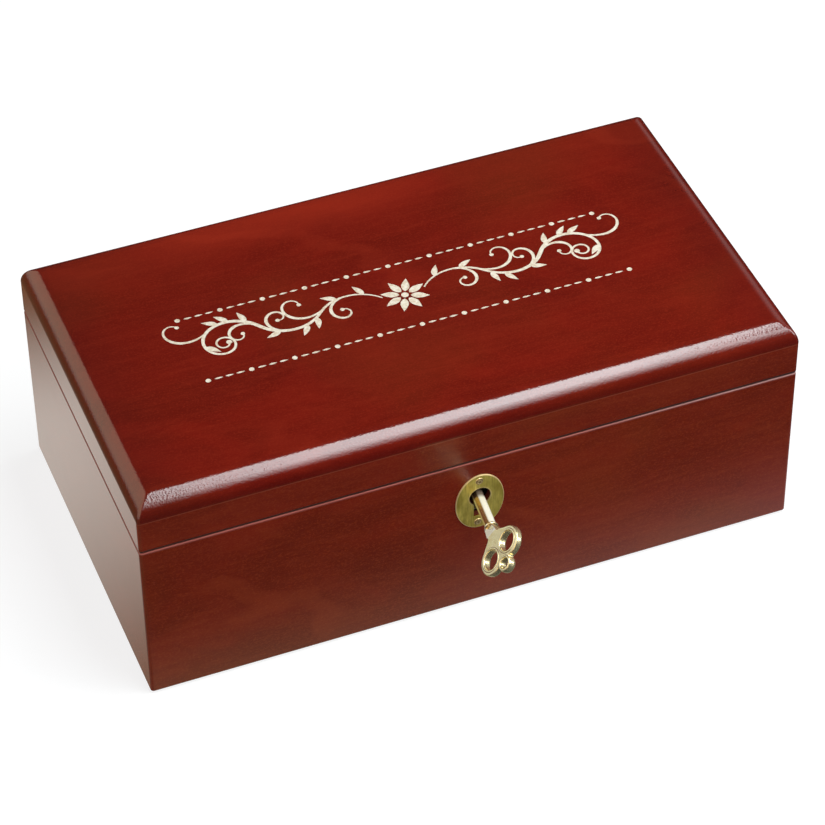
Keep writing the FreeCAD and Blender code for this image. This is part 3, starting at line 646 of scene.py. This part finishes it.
key_brass = cast_brass()
plate_brass = brushed_brass()
hinge_brass = turned_brass("turned_brass", 0.9, (0.82, 0.62, 0.28, 1), (0.55, 0.39, 0.15, 1))
pin_brass = turned_brass("pin_brass", 0.55, (1.0, 0.80, 0.40, 1), (0.72, 0.46, 0.16, 1),
                         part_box("escutcheon")[0].y - 0.60 * MM)
steel = lock_steel()
metal_of = {"escutcheon": plate_brass, "lock_case": steel, "lock_key_post": steel, "lock_spring": steel}
hinge_parts = [side + part for side in ("hinge_left_", "hinge_right_")
               for part in ("body_leaf", "lid_leaf", "pin")]
for node in ["lock_back_plate", "lock_bolt", "link_plate"] + hinge_parts:
    metal_of[node] = hinge_brass
for node, metal in metal_of.items():
    cover(nodes[node], metal)
print("metal nodes:", len(metal_of))

# %% [markdown]
# ## The ornament cut into the lid
# The lid carries a scroll filled with cream paint.  A scroll is easy to draw by its bend: the line
# walks forward while its curvature runs evenly from one value to the next, and a growing
# curvature winds it into a curl.  Ribbons, leaves and dots are closed outlines in millimetres from
# the middle of the lid.


# %% Outlines of the scroll
def walk(start, heading, keys, step=0.35):
    """Points, headings and lengths of a line whose bend changes evenly between keys."""
    lengths = np.array([length for length, bend in keys])
    count = max(8, int(lengths[-1] / step))
    along = np.linspace(0, lengths[-1], count)
    bends = np.interp(along, lengths, [bend for length, bend in keys])
    pace = along[1]
    headings = heading + np.concatenate([[0], np.cumsum((bends[1:] + bends[:-1]) / 2 * pace)])
    halfway = (headings[1:] + headings[:-1]) / 2
    x = start[0] + np.concatenate([[0], np.cumsum(np.cos(halfway) * pace)])
    y = start[1] + np.concatenate([[0], np.cumsum(np.sin(halfway) * pace)])
    return np.column_stack([x, y]), headings, along


def ribbon(points, headings, widths):
    sideways = np.column_stack([-np.sin(headings), np.cos(headings)]) * widths[:, None] / 2
    return np.vstack([points + sideways, (points - sideways)[::-1]])


def dot(centre, radius, count=18):
    angles = np.linspace(0, 2 * math.pi, count, endpoint=False)
    return np.array(centre) + radius * np.column_stack([np.cos(angles), np.sin(angles)])


def leaf(base, heading, length, width, curl=0.0, count=12):
    t = np.linspace(0, 1, count)
    half = width / 2 * np.sin(math.pi * t ** 0.75)
    middle = curl * length * t * t
    outline = np.vstack([np.column_stack([t * length, middle + half]),
                         np.column_stack([t * length, middle - half])[1:-1][::-1]])
    c, s = math.cos(heading), math.sin(heading)
    return outline @ np.array([[c, s], [-s, c]]) + np.array(base)


def scroll_stem(start, heading, keys, widths, ball):
    points, headings, along = walk(start, heading, keys)
    swell = np.interp(along / along[-1], [0, 0.45, 1], widths)
    return [ribbon(points, headings, swell), dot(points[-1], ball)], points, headings, along


# %% The whole ornament
CURLS = [  # length along the stem, then the bends of the curl
    (13, [(0, -1 / 11), (7, -1 / 7), (16, -1 / 4), (26, -1 / 1.8)]),
    (23, [(0, 1 / 30), (7, 1 / 9), (18, 1 / 6), (30, 1 / 2.4)]),
    (40, [(0, 1 / 11), (7, 1 / 7), (16, 1 / 4), (26, 1 / 1.8)]),
    (52, [(0, -1 / 12), (7, -1 / 7), (15, -1 / 4), (24, -1 / 1.8)]),
    (73, [(0, 1 / 30), (7, 1 / 10), (18, 1 / 6), (28, 1 / 2.4)]),
]
LEAVES = [(7, 1), (17, 1), (29, -1), (34, -1), (44, -1), (58, 1), (64, 1), (68, 1), (82, -1)]
CHAIN_HEIGHT = 17.0
CHAIN_REACH = 80.0
CHAIN_PITCH = 4.0


def ornament():
    shapes, points, headings, along = scroll_stem(
        (8.0, 1.5), math.radians(50),
        [(0, -1 / 16), (24, -1 / 15), (29, 1 / 15), (50, 1 / 13), (55, -1 / 14), (72, -1 / 11),
         (86, -1 / 6.5), (100, -1 / 4), (116, -1 / 2.0)], (0.6, 1.6, 0.7), 1.1)
    for length, bends in CURLS:
        i = int(np.searchsorted(along, length))
        shapes += scroll_stem(points[i], headings[i], bends, (0.6, 1.3, 0.5), 0.85)[0]
    for length, side in LEAVES:
        i = int(np.searchsorted(along, length))
        shapes.append(leaf(points[i], headings[i] + side * math.radians(48), 6.2, 2.3, -0.14 * side))
    shapes += [outline * np.array([-1, 1]) for outline in shapes]
    for petal in range(8):
        angle = math.radians(22.5 + 45 * petal)
        shapes.append(leaf((2 * math.cos(angle), 2 * math.sin(angle)), angle, 7.0, 3.0))
    shapes.append(dot((0, 0), 1.4))
    beads = int(CHAIN_REACH / CHAIN_PITCH)
    for height in (-CHAIN_HEIGHT, CHAIN_HEIGHT):
        for bead in range(-beads, beads + 1):
            x = bead * CHAIN_PITCH
            shapes.append(dot((x, height), 1.0) if bead % 4 == 0 else leaf((x - 1.7, height), 0, 3.4, 0.9))
    return shapes


shapes = ornament()
print("outlines in the ornament:", len(shapes))

# %% [markdown]
# ## The lid board
# The board's edge is a quarter-round that starts flush with the top and stops at a crease just
# short of upright.  Rounded rectangles, one above the other, follow that profile.  The flat top is
# cut along the ornament's outlines by a constrained triangulation, which also tells which
# triangles lie inside an outline: those are sunk, and walls join them to the top.

# %% The stack of rounded rectangles
ROUND_OVER = 8.3
PROFILE_STEPS = 14
CORNER_STEPS = 6
CORNER_FOOT = 1.2
CORNER_TOP = 0.7
RECESS = 0.35
PAINT_BELOW = 0.08
PAINT_FLOOR = 0.33

board_low, board_high = (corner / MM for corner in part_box("lid_top_board"))
half_x, half_y = board_high.x, board_high.y
sweep = math.acos(1 - (board_high.z - board_low.z) / ROUND_OVER)
full_inset = ROUND_OVER * math.sin(sweep)


def rounded_rectangle(inset, radius, z):
    points = []
    for quarter, (sx, sy) in enumerate(((1, 1), (-1, 1), (-1, -1), (1, -1))):
        cx, cy = sx * (half_x - inset - radius), sy * (half_y - inset - radius)
        for step in range(CORNER_STEPS + 1):
            angle = math.radians(90) * (quarter + step / CORNER_STEPS)
            points.append((cx + radius * math.cos(angle), cy + radius * math.sin(angle), z))
    return points


def profile_loops():
    loops = []
    for step in range(PROFILE_STEPS + 1):
        angle = sweep * (1 - step / PROFILE_STEPS)
        inset = full_inset - ROUND_OVER * math.sin(angle)
        z = board_high.z - ROUND_OVER * (1 - math.cos(angle))
        share = inset / full_inset
        loops.append(rounded_rectangle(inset, CORNER_FOOT + (CORNER_TOP - CORNER_FOOT) * share, z))
    return loops


# %% Cut the ornament into the top
def anticlockwise(outline):
    x, y = outline.T
    area = np.sum(x * np.roll(y, -1) - np.roll(x, -1) * y)
    return outline if area > 0 else outline[::-1]


def cut_top(loop, outlines):
    """Triangles of the flat top and whether each one lies inside an outline."""
    points = [Vector(p[:2]) for p in loop]
    faces = [list(range(len(points)))]
    for outline in outlines:
        faces.append(list(range(len(points), len(points) + len(outline))))
        points += [Vector(p) for p in anticlockwise(outline)]
    flat, _, triangles, _, _, origins = geometry.delaunay_2d_cdt(points, [], faces, 1, 1e-4)
    inside = [any(face > 0 for face in owners) for owners in origins]
    return flat, triangles, inside


def border_edges(triangles, chosen):
    """Edges of the chosen triangles that no other chosen triangle shares, in order."""
    directed = set()
    for triangle, wanted in zip(triangles, chosen):
        if wanted:
            directed.update(zip(triangle, triangle[1:] + triangle[:1]))
    return [(a, b) for a, b in directed if (b, a) not in directed]


def slab(flat, triangles, chosen, upper, lower):
    """The chosen triangles as a closed slab between two heights."""
    count = len(flat)
    points = [(p.x, p.y, upper) for p in flat] + [(p.x, p.y, lower) for p in flat]
    faces = []
    for triangle, wanted in zip(triangles, chosen):
        if wanted:
            faces += [list(triangle), [i + count for i in reversed(triangle)]]
    faces += [[b, a, a + count, b + count] for a, b in border_edges(triangles, chosen)]
    return points, faces


def lid_board_mesh():
    loops = profile_loops()
    points = [p for loop in loops for p in loop]
    size = len(loops[0])
    faces = [list(reversed(range(size)))]
    for k in range(len(loops) - 1):
        for i in range(size):
            j = (i + 1) % size
            faces.append([k * size + i, k * size + j, (k + 1) * size + j, (k + 1) * size + i])
    flat, triangles, inside = cut_top(loops[-1], shapes)
    top, deep = len(points), len(points) + len(flat)
    points += [(p.x, p.y, board_high.z) for p in flat]
    points += [(p.x, p.y, board_high.z - RECESS) for p in flat]
    for triangle, sunk in zip(triangles, inside):
        faces.append([i + (deep if sunk else top) for i in triangle])
    faces += [[a + top, b + top, b + deep, a + deep] for a, b in border_edges(triangles, inside)]
    return points, faces, flat, triangles, inside


def in_metres(points):
    return [(x * MM, y * MM, z * MM) for x, y, z in points]


board_points, board_faces, flat, triangles, inside = lid_board_mesh()
lid_board = mesh_object("lid_board", in_metres(board_points), board_faces)
fit_piece(lid_board, lacquer_top, "lid", "lacquered_wood", "lid_top_board")

# %% [markdown]
# ## The paint in the ornament
# The paint is a thin slab in the recess, a little below the lid's surface.  It is matt, and
# slightly uneven in colour where it is thin.


# %% The paint
def cream_paint():
    paint = Finish("cream_paint", IOR=1.45)
    thin = paint.noise(paint.place(), 700.0, 3.0, 0.6)
    colour = paint.mix(thin.between(0.35, 0.7), (0.80, 0.73, 0.60, 1), (0.62, 0.50, 0.36, 1))
    return paint.feed(Base_Color=colour, Roughness=0.45 + thin * 0.2, Normal=paint.bump(thin, 0.04 * MM))


paint_points, paint_faces = slab(flat, triangles, inside,
                                 board_high.z - PAINT_BELOW, board_high.z - PAINT_FLOOR)
lid_paint = mesh_object("lid_ornament_paint", in_metres(paint_points), paint_faces)
fit_piece(lid_paint, cream_paint(), "lid", "cream_paint")

# %% [markdown]
# ## The key
# A cast key has no sharp edge.  Its parts are made as simple closed shapes that overlap - a turned
# shank and collar, a flat trefoil with three holes, a ring round each hole - and a voxel remesh
# melts them into one skin, which a few rounds of smoothing then soften.

# %% Turned shapes and flat outlines
SPIN_STEPS = 32


def joined(shapes):
    """The points and faces of several shapes as one."""
    points, faces = [], []
    for shape_points, shape_faces in shapes:
        faces += [[i + len(points) for i in face] for face in shape_faces]
        points += shape_points
    return points, faces


def turned(profile):
    """A closed shape turned about X from (along, radius) pairs."""
    points, faces = [], []
    for along, radius in profile:
        for step in range(SPIN_STEPS):
            angle = 2 * math.pi * step / SPIN_STEPS
            points.append((along, radius * math.cos(angle), radius * math.sin(angle)))
    for ring in range(len(profile) - 1):
        for step in range(SPIN_STEPS):
            after = (step + 1) % SPIN_STEPS
            a, b = ring * SPIN_STEPS, (ring + 1) * SPIN_STEPS
            faces.append([a + step, b + step, b + after, a + after])
    faces.append(list(range(SPIN_STEPS)))
    faces.append(list(reversed(range(len(points) - SPIN_STEPS, len(points)))))
    return points, faces


def circle(u, v, radius, start=0.0, end=360.0, count=40):
    angles = np.radians(np.linspace(start, end, count, endpoint=end - start < 360))
    return [(u + radius * math.cos(a), v + radius * math.sin(a)) for a in angles]


def flat_plate(outlines, thickness, edge):
    """A filled outline with holes, thickened and rounded along its edges."""
    curve = bpy.data.curves.new("outline", "CURVE")
    curve.dimensions = "2D"
    curve.fill_mode = "BOTH"
    curve.extrude = thickness / 2 - edge
    curve.bevel_depth = edge
    curve.bevel_resolution = 3
    curve.offset = -edge
    for outline in outlines:
        spline = curve.splines.new("POLY")
        spline.points.add(len(outline) - 1)
        for point, (u, v) in zip(spline.points, outline):
            point.co = (u, v, 0, 1)
        spline.use_cyclic_u = True
    made = finished_mesh(add_object("outline", curve))
    points = [tuple(v.co) for v in made.vertices]
    faces = [list(p.vertices) for p in made.polygons]
    bpy.data.curves.remove(curve)
    bpy.data.meshes.remove(made)
    return points, faces


# %% The key's measures, in millimetres from the middle of the bolt
SHANK = 2.1
INNER_END = -2.3
BORE, BORE_END = 1.3, 1.8
COLLAR_END = 22.83
COLLAR = 2.55
NECK_U, NECK, NECK_ROOT = COLLAR_END + 3.7, 2.85, 1.8
LOBE_U, LOBE_V, LOBE, LOBE_HOLE = COLLAR_END + 11.6, 4.85, 5.9, 3.65
TIP_U, TIP, TIP_HOLE = COLLAR_END + 18.0, 3.3, 2.0
WEB_THICK = 2.5
RING_THICK, RING_WIDTH = 3.0, 1.0
BIT_REACH, BIT_WIDTH, BIT_THICK = 8.2, 3.4, 2.6
VOXEL = 0.15
SMOOTH_ROUNDS = 3


def web_outline():
    """From the collar round one lobe and the tip, and back along the other side."""
    away = math.hypot(LOBE_U - NECK_U, LOBE_V - NECK)
    aim = math.atan2(LOBE_V - NECK, LOBE_U - NECK_U) + math.asin(LOBE / away)
    touch = math.degrees(aim) + 90
    gap_u, gap_v = TIP_U - LOBE_U, LOBE_V
    gap = math.hypot(gap_u, gap_v)
    to_tip = math.degrees(math.atan2(-gap_v, gap_u))
    at_lobe = math.degrees(math.acos((gap ** 2 + LOBE ** 2 - TIP ** 2) / (2 * gap * LOBE)))
    at_tip = math.degrees(math.acos((gap ** 2 + TIP ** 2 - LOBE ** 2) / (2 * gap * TIP)))
    upper = [(COLLAR_END - 0.4, NECK_ROOT), (NECK_U, NECK)]
    upper += circle(LOBE_U, LOBE_V, LOBE - 0.3, touch, to_tip + at_lobe, 30)
    upper += circle(TIP_U, 0, TIP - 0.2, 180 + to_tip - at_tip, 0, 16)
    return upper + [(u, -v) for u, v in reversed(upper[:-1])]


def neck_facet():
    """A three-cornered slope from the collar down to the web, and the same on the back, half a turn on."""
    slope = [(3.2, 2.3, 1.2), (-0.4, -1.6, 2.3), (3.0, -3.0, 1.2)]
    slope += [(u, v, 0) for u, v, w in slope]
    faces = [(0, 1, 2), (5, 4, 3), (0, 3, 4, 1), (1, 4, 5, 2), (2, 5, 3, 0)]
    return joined(([(COLLAR_END + u, side * v, side * w) for u, v, w in slope], faces) for side in (1, -1))


def block(low, high):
    (u0, v0, w0), (u1, v1, w1) = low, high
    points = [(u, v, w) for u in (u0, u1) for v in (v0, v1) for w in (w0, w1)]
    faces = [(0, 1, 3, 2), (4, 6, 7, 5), (0, 4, 5, 1), (2, 3, 7, 6), (0, 2, 6, 4), (1, 5, 7, 3)]
    return points, faces


# %% Cast the key
def key_parts():
    yield turned([
        (BORE_END, 0.05), (BORE_END, BORE), (INNER_END, BORE), (INNER_END, SHANK - 0.2),
        (INNER_END + 0.2, SHANK), (COLLAR_END - 1.3, SHANK), (COLLAR_END - 1.0, COLLAR - 0.15),
        (COLLAR_END - 0.75, COLLAR), (COLLAR_END - 0.35, COLLAR), (COLLAR_END - 0.1, COLLAR - 0.2),
        (COLLAR_END + 0.1, 1.4), (COLLAR_END + 0.1, 1.0)])
    holes = [(LOBE_U, LOBE_V, LOBE_HOLE), (LOBE_U, -LOBE_V, LOBE_HOLE), (TIP_U, 0, TIP_HOLE)]
    yield flat_plate([web_outline()] + [circle(u, v, hole) for u, v, hole in holes], WEB_THICK, 0.55)
    for u, v, hole in holes:
        yield flat_plate([circle(u, v, hole + RING_WIDTH), circle(u, v, hole)], RING_THICK, 0.45)
    yield neck_facet()
    yield block((-BIT_WIDTH / 2, -BIT_REACH, -BIT_THICK / 2), (BIT_WIDTH / 2, -1.45, BIT_THICK / 2))


def cast_key():
    points, faces = joined(key_parts())
    rough = bpy.data.meshes.new("key_rough")
    rough.from_pydata(points, [], faces)
    holder = add_object("key_rough", rough)
    remesh = holder.modifiers.new("melt", "REMESH")
    remesh.mode = "VOXEL"
    remesh.voxel_size = VOXEL * 1
    smooth = holder.modifiers.new("soften", "SMOOTH")
    smooth.factor = 0.5
    smooth.iterations = SMOOTH_ROUNDS
    skin = finished_mesh(holder)
    skin.transform(key_to_world())
    return closed_object("cast_key", skin, 180)


key = cast_key()
fit_piece(key, key_brass, "key", "polished_brass", "key")

# %% [markdown]
# ## Pins of the keyhole plate
# Two small nails with a dimpled dome hold the plate.  They are turned shapes, with their axis
# laid along Y.

# %% The pins
plate_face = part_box("escutcheon")[0].y
HEAD = 1.5
HEAD_RISE = 0.7


def pin_profile():
    """From the dimple outwards over the dome and down to the nail's tip; along is towards the wood."""
    dome = [(-HEAD_RISE * math.cos(a) ** 1.2, HEAD * math.sin(a)) for a in np.radians([38, 50, 62, 74, 84])]
    return [(-0.33, 0.05), (-0.36, 0.35), (-0.56, 0.62)] + dome + [(0.0, HEAD), (0.0, 0.5), (3.0, 0.5)]


def pins():
    dome_points, dome_faces = turned(pin_profile())
    domes = []
    for solid in separate_solids("escutcheon_pins"):
        x, _, z = (solid.min(0) + solid.max(0)) / 2 * MM
        placed = [(x + b * MM, plate_face + a * MM, z + c * MM) for a, b, c in dome_points]
        domes.append((placed, dome_faces))
    return joined(domes)


escutcheon_pins = mesh_object("keyhole_plate_pins", *pins(), 40)
fit_piece(escutcheon_pins, pin_brass, "box", "polished_brass", "escutcheon_pins")

# %% [markdown]
# ## Screws by Geometry Nodes
# Every screw is the same: a countersunk head with a slot, and a shank.  One node tree makes the
# screw from named sizes and puts it on each point of a small mesh, turned by a random angle, as a
# screwdriver leaves them.


# %% The screw tree
class Tree:
    """A Geometry Nodes tree, its named inputs and a short way to add nodes."""

    def __init__(self, name, inputs):
        self.group = bpy.data.node_groups.new(name, "GeometryNodeTree")
        self.group.interface.new_socket("Geometry", in_out="OUTPUT", socket_type="NodeSocketGeometry")
        self.identifier = {}
        for label, kind in [("Geometry", "Geometry")] + inputs:
            socket = self.group.interface.new_socket(label, in_out="INPUT", socket_type="NodeSocket" + kind)
            self.identifier[label] = socket.identifier
        self.inputs = self.group.nodes.new("NodeGroupInput").outputs

    def node(self, kind, settings, inputs, output=0):
        made = self.group.nodes.new(kind)
        for name, value in settings.items():
            setattr(made, name, value)
        for name, value in inputs.items():
            if isinstance(value, bpy.types.NodeSocket):
                self.group.links.new(value, made.inputs[name])
            else:
                made.inputs[name].default_value = value
        return made.outputs[output]

    def math(self, operation, first, second):
        return self.node("ShaderNodeMath", {"operation": operation}, {0: first, 1: second})

    def result(self, geometry_socket):
        output = self.group.nodes.new("NodeGroupOutput")
        self.group.links.new(geometry_socket, output.inputs[0])


def screw_tree():
    tree = Tree("countersunk_screws", [
        ("Head Radius", "Float"), ("Head Depth", "Float"), ("Shank Radius", "Float"), ("Length", "Float"),
        ("Slot", "Float"), ("Facing", "Rotation"), ("Seed", "Int"), ("Material", "Material")])
    given = tree.inputs
    below = tree.math("MULTIPLY", given["Head Depth"], -1.0)
    middle = tree.math("SUBTRACT", below, tree.math("MULTIPLY", given["Length"], 0.5))
    head = tree.node("GeometryNodeMeshCone", {}, {
        "Vertices": 32, "Radius Top": given["Head Radius"], "Radius Bottom": given["Shank Radius"],
        "Depth": given["Head Depth"]})
    head = tree.node("GeometryNodeTransform", {}, {
        "Geometry": head, "Translation": tree.node("ShaderNodeCombineXYZ", {}, {"Z": below})})
    slot_size = tree.node("ShaderNodeCombineXYZ", {}, {
        "X": tree.math("MULTIPLY", given["Head Radius"], 3.0), "Y": given["Slot"],
        "Z": tree.math("MULTIPLY", given["Slot"], 2.0)})
    slot = tree.node("GeometryNodeMeshCube", {}, {"Size": slot_size})
    head = tree.node("GeometryNodeMeshBoolean", {"operation": "DIFFERENCE", "solver": "EXACT"},
                     {"Mesh 1": head, "Mesh 2": slot})
    shank = tree.node("GeometryNodeMeshCylinder", {}, {
        "Vertices": 16, "Radius": given["Shank Radius"], "Depth": given["Length"]})
    shank = tree.node("GeometryNodeTransform", {}, {
        "Geometry": shank, "Translation": tree.node("ShaderNodeCombineXYZ", {}, {"Z": middle})})
    join = tree.group.nodes.new("GeometryNodeJoinGeometry")
    tree.group.links.new(head, join.inputs[0])
    tree.group.links.new(shank, join.inputs[0])
    spread = tree.node("GeometryNodeInstanceOnPoints", {}, {
        "Points": given["Geometry"], "Instance": join.outputs[0], "Rotation": given["Facing"]})
    spin = tree.node("FunctionNodeRandomValue", {"data_type": "FLOAT"}, {
        2: 0.0, 3: math.pi, "Seed": given["Seed"]}, 1)
    spread = tree.node("GeometryNodeRotateInstances", {}, {
        "Instances": spread, "Rotation": tree.node("FunctionNodeEulerToRotation", {}, {
            0: tree.node("ShaderNodeCombineXYZ", {}, {"Z": spin})}), "Local Space": True})
    real = tree.node("GeometryNodeRealizeInstances", {}, {"Geometry": spread})
    tree.result(tree.node("GeometryNodeSetMaterial", {}, {"Geometry": real, "Material": given["Material"]}))
    return tree


# %% Put the screws where the construction has them
SCREW_SIZES = {"Head Radius": 1.7, "Head Depth": 0.8, "Shank Radius": 0.9, "Length": 6.0, "Slot": 0.5}
FACING = {"down": (0, 0, 0), "up": (math.pi, 0, 0), "in": (-math.pi / 2, 0, 0)}
screws = screw_tree()


def place_screws(node, facing, body, seed):
    heads = []
    for solid in separate_solids(node):
        head = (solid.min(0) + solid.max(0)) / 2
        if facing == "down":
            head[2] = solid.max(0)[2]
        elif facing == "up":
            head[2] = solid.min(0)[2]
        else:
            head[1] = solid.max(0)[1]
        heads.append(tuple(head * MM))
    points = bpy.data.meshes.new(node + "_places")
    points.from_pydata(heads, [], [])
    holder = add_object(node + "_places", points)
    modifier = holder.modifiers.new("screws", "NODES")
    modifier.node_group = screws.group
    for label, size in SCREW_SIZES.items():
        modifier[screws.identifier[label]] = size * MM
    modifier[screws.identifier["Facing"]] = FACING[facing]
    modifier[screws.identifier["Seed"]] = seed
    modifier[screws.identifier["Material"]] = hinge_brass
    piece = closed_object(node + "_made", finished_mesh(holder), 30)
    fit_piece(piece, hinge_brass, body, "polished_brass", node)


place_screws("hinge_body_screws", "down", "box", 3)
place_screws("hinge_lid_screws", "up", "lid", 5)
place_screws("lock_screws", "in", "box", 8)
place_screws("link_plate_screws", "up", "lid", 11)

# %% [markdown]
# ## Velvet and felt
# The inside is lined with velvet over card.  A panel of it has rolled edges and a slight crown.
# The surface is a grid that is finer near its edges; its height follows the distance to the
# nearest edge.  Velvet is dark seen from the front and pale at a glancing angle, which is what the
# shader's sheen does.


# %% The velvet and the felt
def velvet():
    cloth = Finish("green_velvet", Roughness=0.95, Specular_IOR_Level=0.1, Sheen_Weight=0.45,
                   Sheen_Roughness=0.35, Sheen_Tint=(0.35, 0.75, 0.5, 1))
    nap = cloth.noise(cloth.place(scale=(1, 1.6, 1.3)), 55.0, 3.0, 0.6, 0.6)
    pile = cloth.noise(cloth.place(), 2600.0, 2.0, 0.6)
    colour = cloth.mix(nap.between(0.35, 0.7), (0.006, 0.030, 0.014, 1), (0.014, 0.062, 0.030, 1))
    colour = cloth.mix(pile.between(0.4, 0.7) * 0.4, colour, (0.022, 0.085, 0.045, 1))
    return cloth.feed(Base_Color=colour, Normal=cloth.bump(pile, 0.12 * MM))


def felt():
    cloth = Finish("green_felt", Roughness=1.0, Specular_IOR_Level=0.0)
    fibres = cloth.noise(cloth.place(), 1500.0, 4.0, 0.7, 1.5)
    colour = cloth.mix(fibres.between(0.35, 0.7), (0.008, 0.026, 0.014, 1), (0.022, 0.060, 0.034, 1))
    return cloth.feed(Base_Color=colour, Normal=cloth.bump(fibres, 0.2 * MM))


def plywood():
    wood = Finish("bare_plywood", Roughness=0.7)
    grain = wood.noise(wood.place(scale=(1, 16, 16)), 60.0, 4.0, 0.6)
    colour = wood.mix(grain.between(0.3, 0.75), (0.50, 0.32, 0.17, 1), (0.32, 0.18, 0.085, 1))
    return wood.feed(Base_Color=colour, Normal=wood.bump(grain, 0.05 * MM))


velvet_cloth = velvet()
felt_cloth = felt()
cover(nodes["base_panel"], plywood())


# %% Panels with rolled edges
def grid_lines(length, roll, breaks=()):
    """Places along one side: close together near the ends and the breaks, open between."""
    near = [0.0, 0.12, 0.3, 0.6, 1.0, 1.6]
    lines = set()
    for edge, sign in [(0.0, 1), (length, -1)] + [(b, s) for b in breaks for s in (1, -1)]:
        lines.update(round(edge + sign * roll * n, 4) for n in near)
    lines.update(round(x, 4) for x in np.linspace(0, length, max(3, int(length / 6))))
    return sorted(x for x in lines if 0 <= x <= length)


def panel_mesh(size, roll, crown, window=None):
    """A closed panel on the u-v plane, its back at w = 0; window is a notch cut from the top edge."""
    size = [round(side, 4) for side in size]
    window = [round(place, 4) for place in window] if window else None
    breaks = (window[0], window[1]) if window else ()
    us = grid_lines(size[0], roll, breaks)
    vs = grid_lines(size[1], roll, (window[2],) if window else ())

    def edge_distance(u, v):
        away = min(u, size[0] - u, v, size[1] - v)
        if window:
            du = max(window[0] - u, u - window[1], 0)
            dv = max(window[2] - v, 0)
            away = min(away, math.hypot(du, dv))
        return away if away > 0.001 else 0.0

    points, front, back, faces = [], {}, {}, []
    for i, u in enumerate(us):
        for j, v in enumerate(vs):
            away = edge_distance(u, v)
            rise = math.sqrt(1 - (1 - min(away / roll, 1)) ** 2)
            swell = crown * (1 - math.exp(-away / (6 * roll)))
            ripple = 0.10 * crown * math.sin(0.33 * u + 1.3 * math.sin(0.21 * v)) * min(away / 12, 1)
            front[i, j] = len(points)
            points.append((u, v, size[2] * rise + swell + ripple))
            back[i, j] = front[i, j] if away == 0 else len(points)
            if away:
                points.append((u, v, 0))
    for i in range(len(us) - 1):
        for j in range(len(vs) - 1):
            middle = ((us[i] + us[i + 1]) / 2, (vs[j] + vs[j + 1]) / 2)
            if edge_distance(*middle) > 0:
                ring = [(i, j), (i + 1, j), (i + 1, j + 1), (i, j + 1)]
                faces.append([front[k] for k in ring])
                faces.append([back[k] for k in reversed(ring)])
    return points, faces


def lining(name, node, outward, roll, crown, body, window=None, cloth=(velvet_cloth, "velvet")):
    """A panel in the place of a construction node; outward is the way its soft face looks."""
    low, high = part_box(node)
    size = high - low
    w = [abs(c) for c in outward].index(1)
    u, v = [axis for axis in range(3) if axis != w]
    notch = tuple((window[k] - low[(u, u, v)[k]]) / MM for k in range(3)) if window else None
    points, faces = panel_mesh((size[u] / MM, size[v] / MM, size[w] / MM), roll, crown, notch)
    placed = []
    for pu, pv, pw in points:
        spot = Vector(low)
        spot[u] += pu * MM
        spot[v] += pv * MM
        spot[w] = (low[w] + pw * MM) if outward[w] > 0 else (high[w] - pw * MM)
        placed.append(spot)
    piece = mesh_object(name, placed, faces, 60)
    fit_piece(piece, cloth[0], body, cloth[1], node)
    return piece


# %% Line the box
plate_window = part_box("lock_back_plate")
window_gap = 0.8 * MM
window = (plate_window[0].x - window_gap, plate_window[1].x + window_gap, plate_window[0].z - window_gap)
lining("velvet_front", "lining_front", (0, 1, 0), 1.0, 0.35, "box", window)
lining("velvet_back", "lining_back", (0, -1, 0), 1.0, 0.35, "box")
lining("velvet_left", "lining_left", (1, 0, 0), 1.0, 0.35, "box")
lining("velvet_right", "lining_right", (-1, 0, 0), 1.0, 0.35, "box")
lining("velvet_lid", "lid_lining", (0, 0, -1), 1.0, 0.8, "lid")
floor_cushion = lining("velvet_floor", "floor_pad", (0, 0, 1), 2.6, 1.6, "box")
felt_sheet = lining("felt_sheet", "base_felt", (0, 0, -1), 0.5, 0, "box", cloth=(felt_cloth, "felt"))
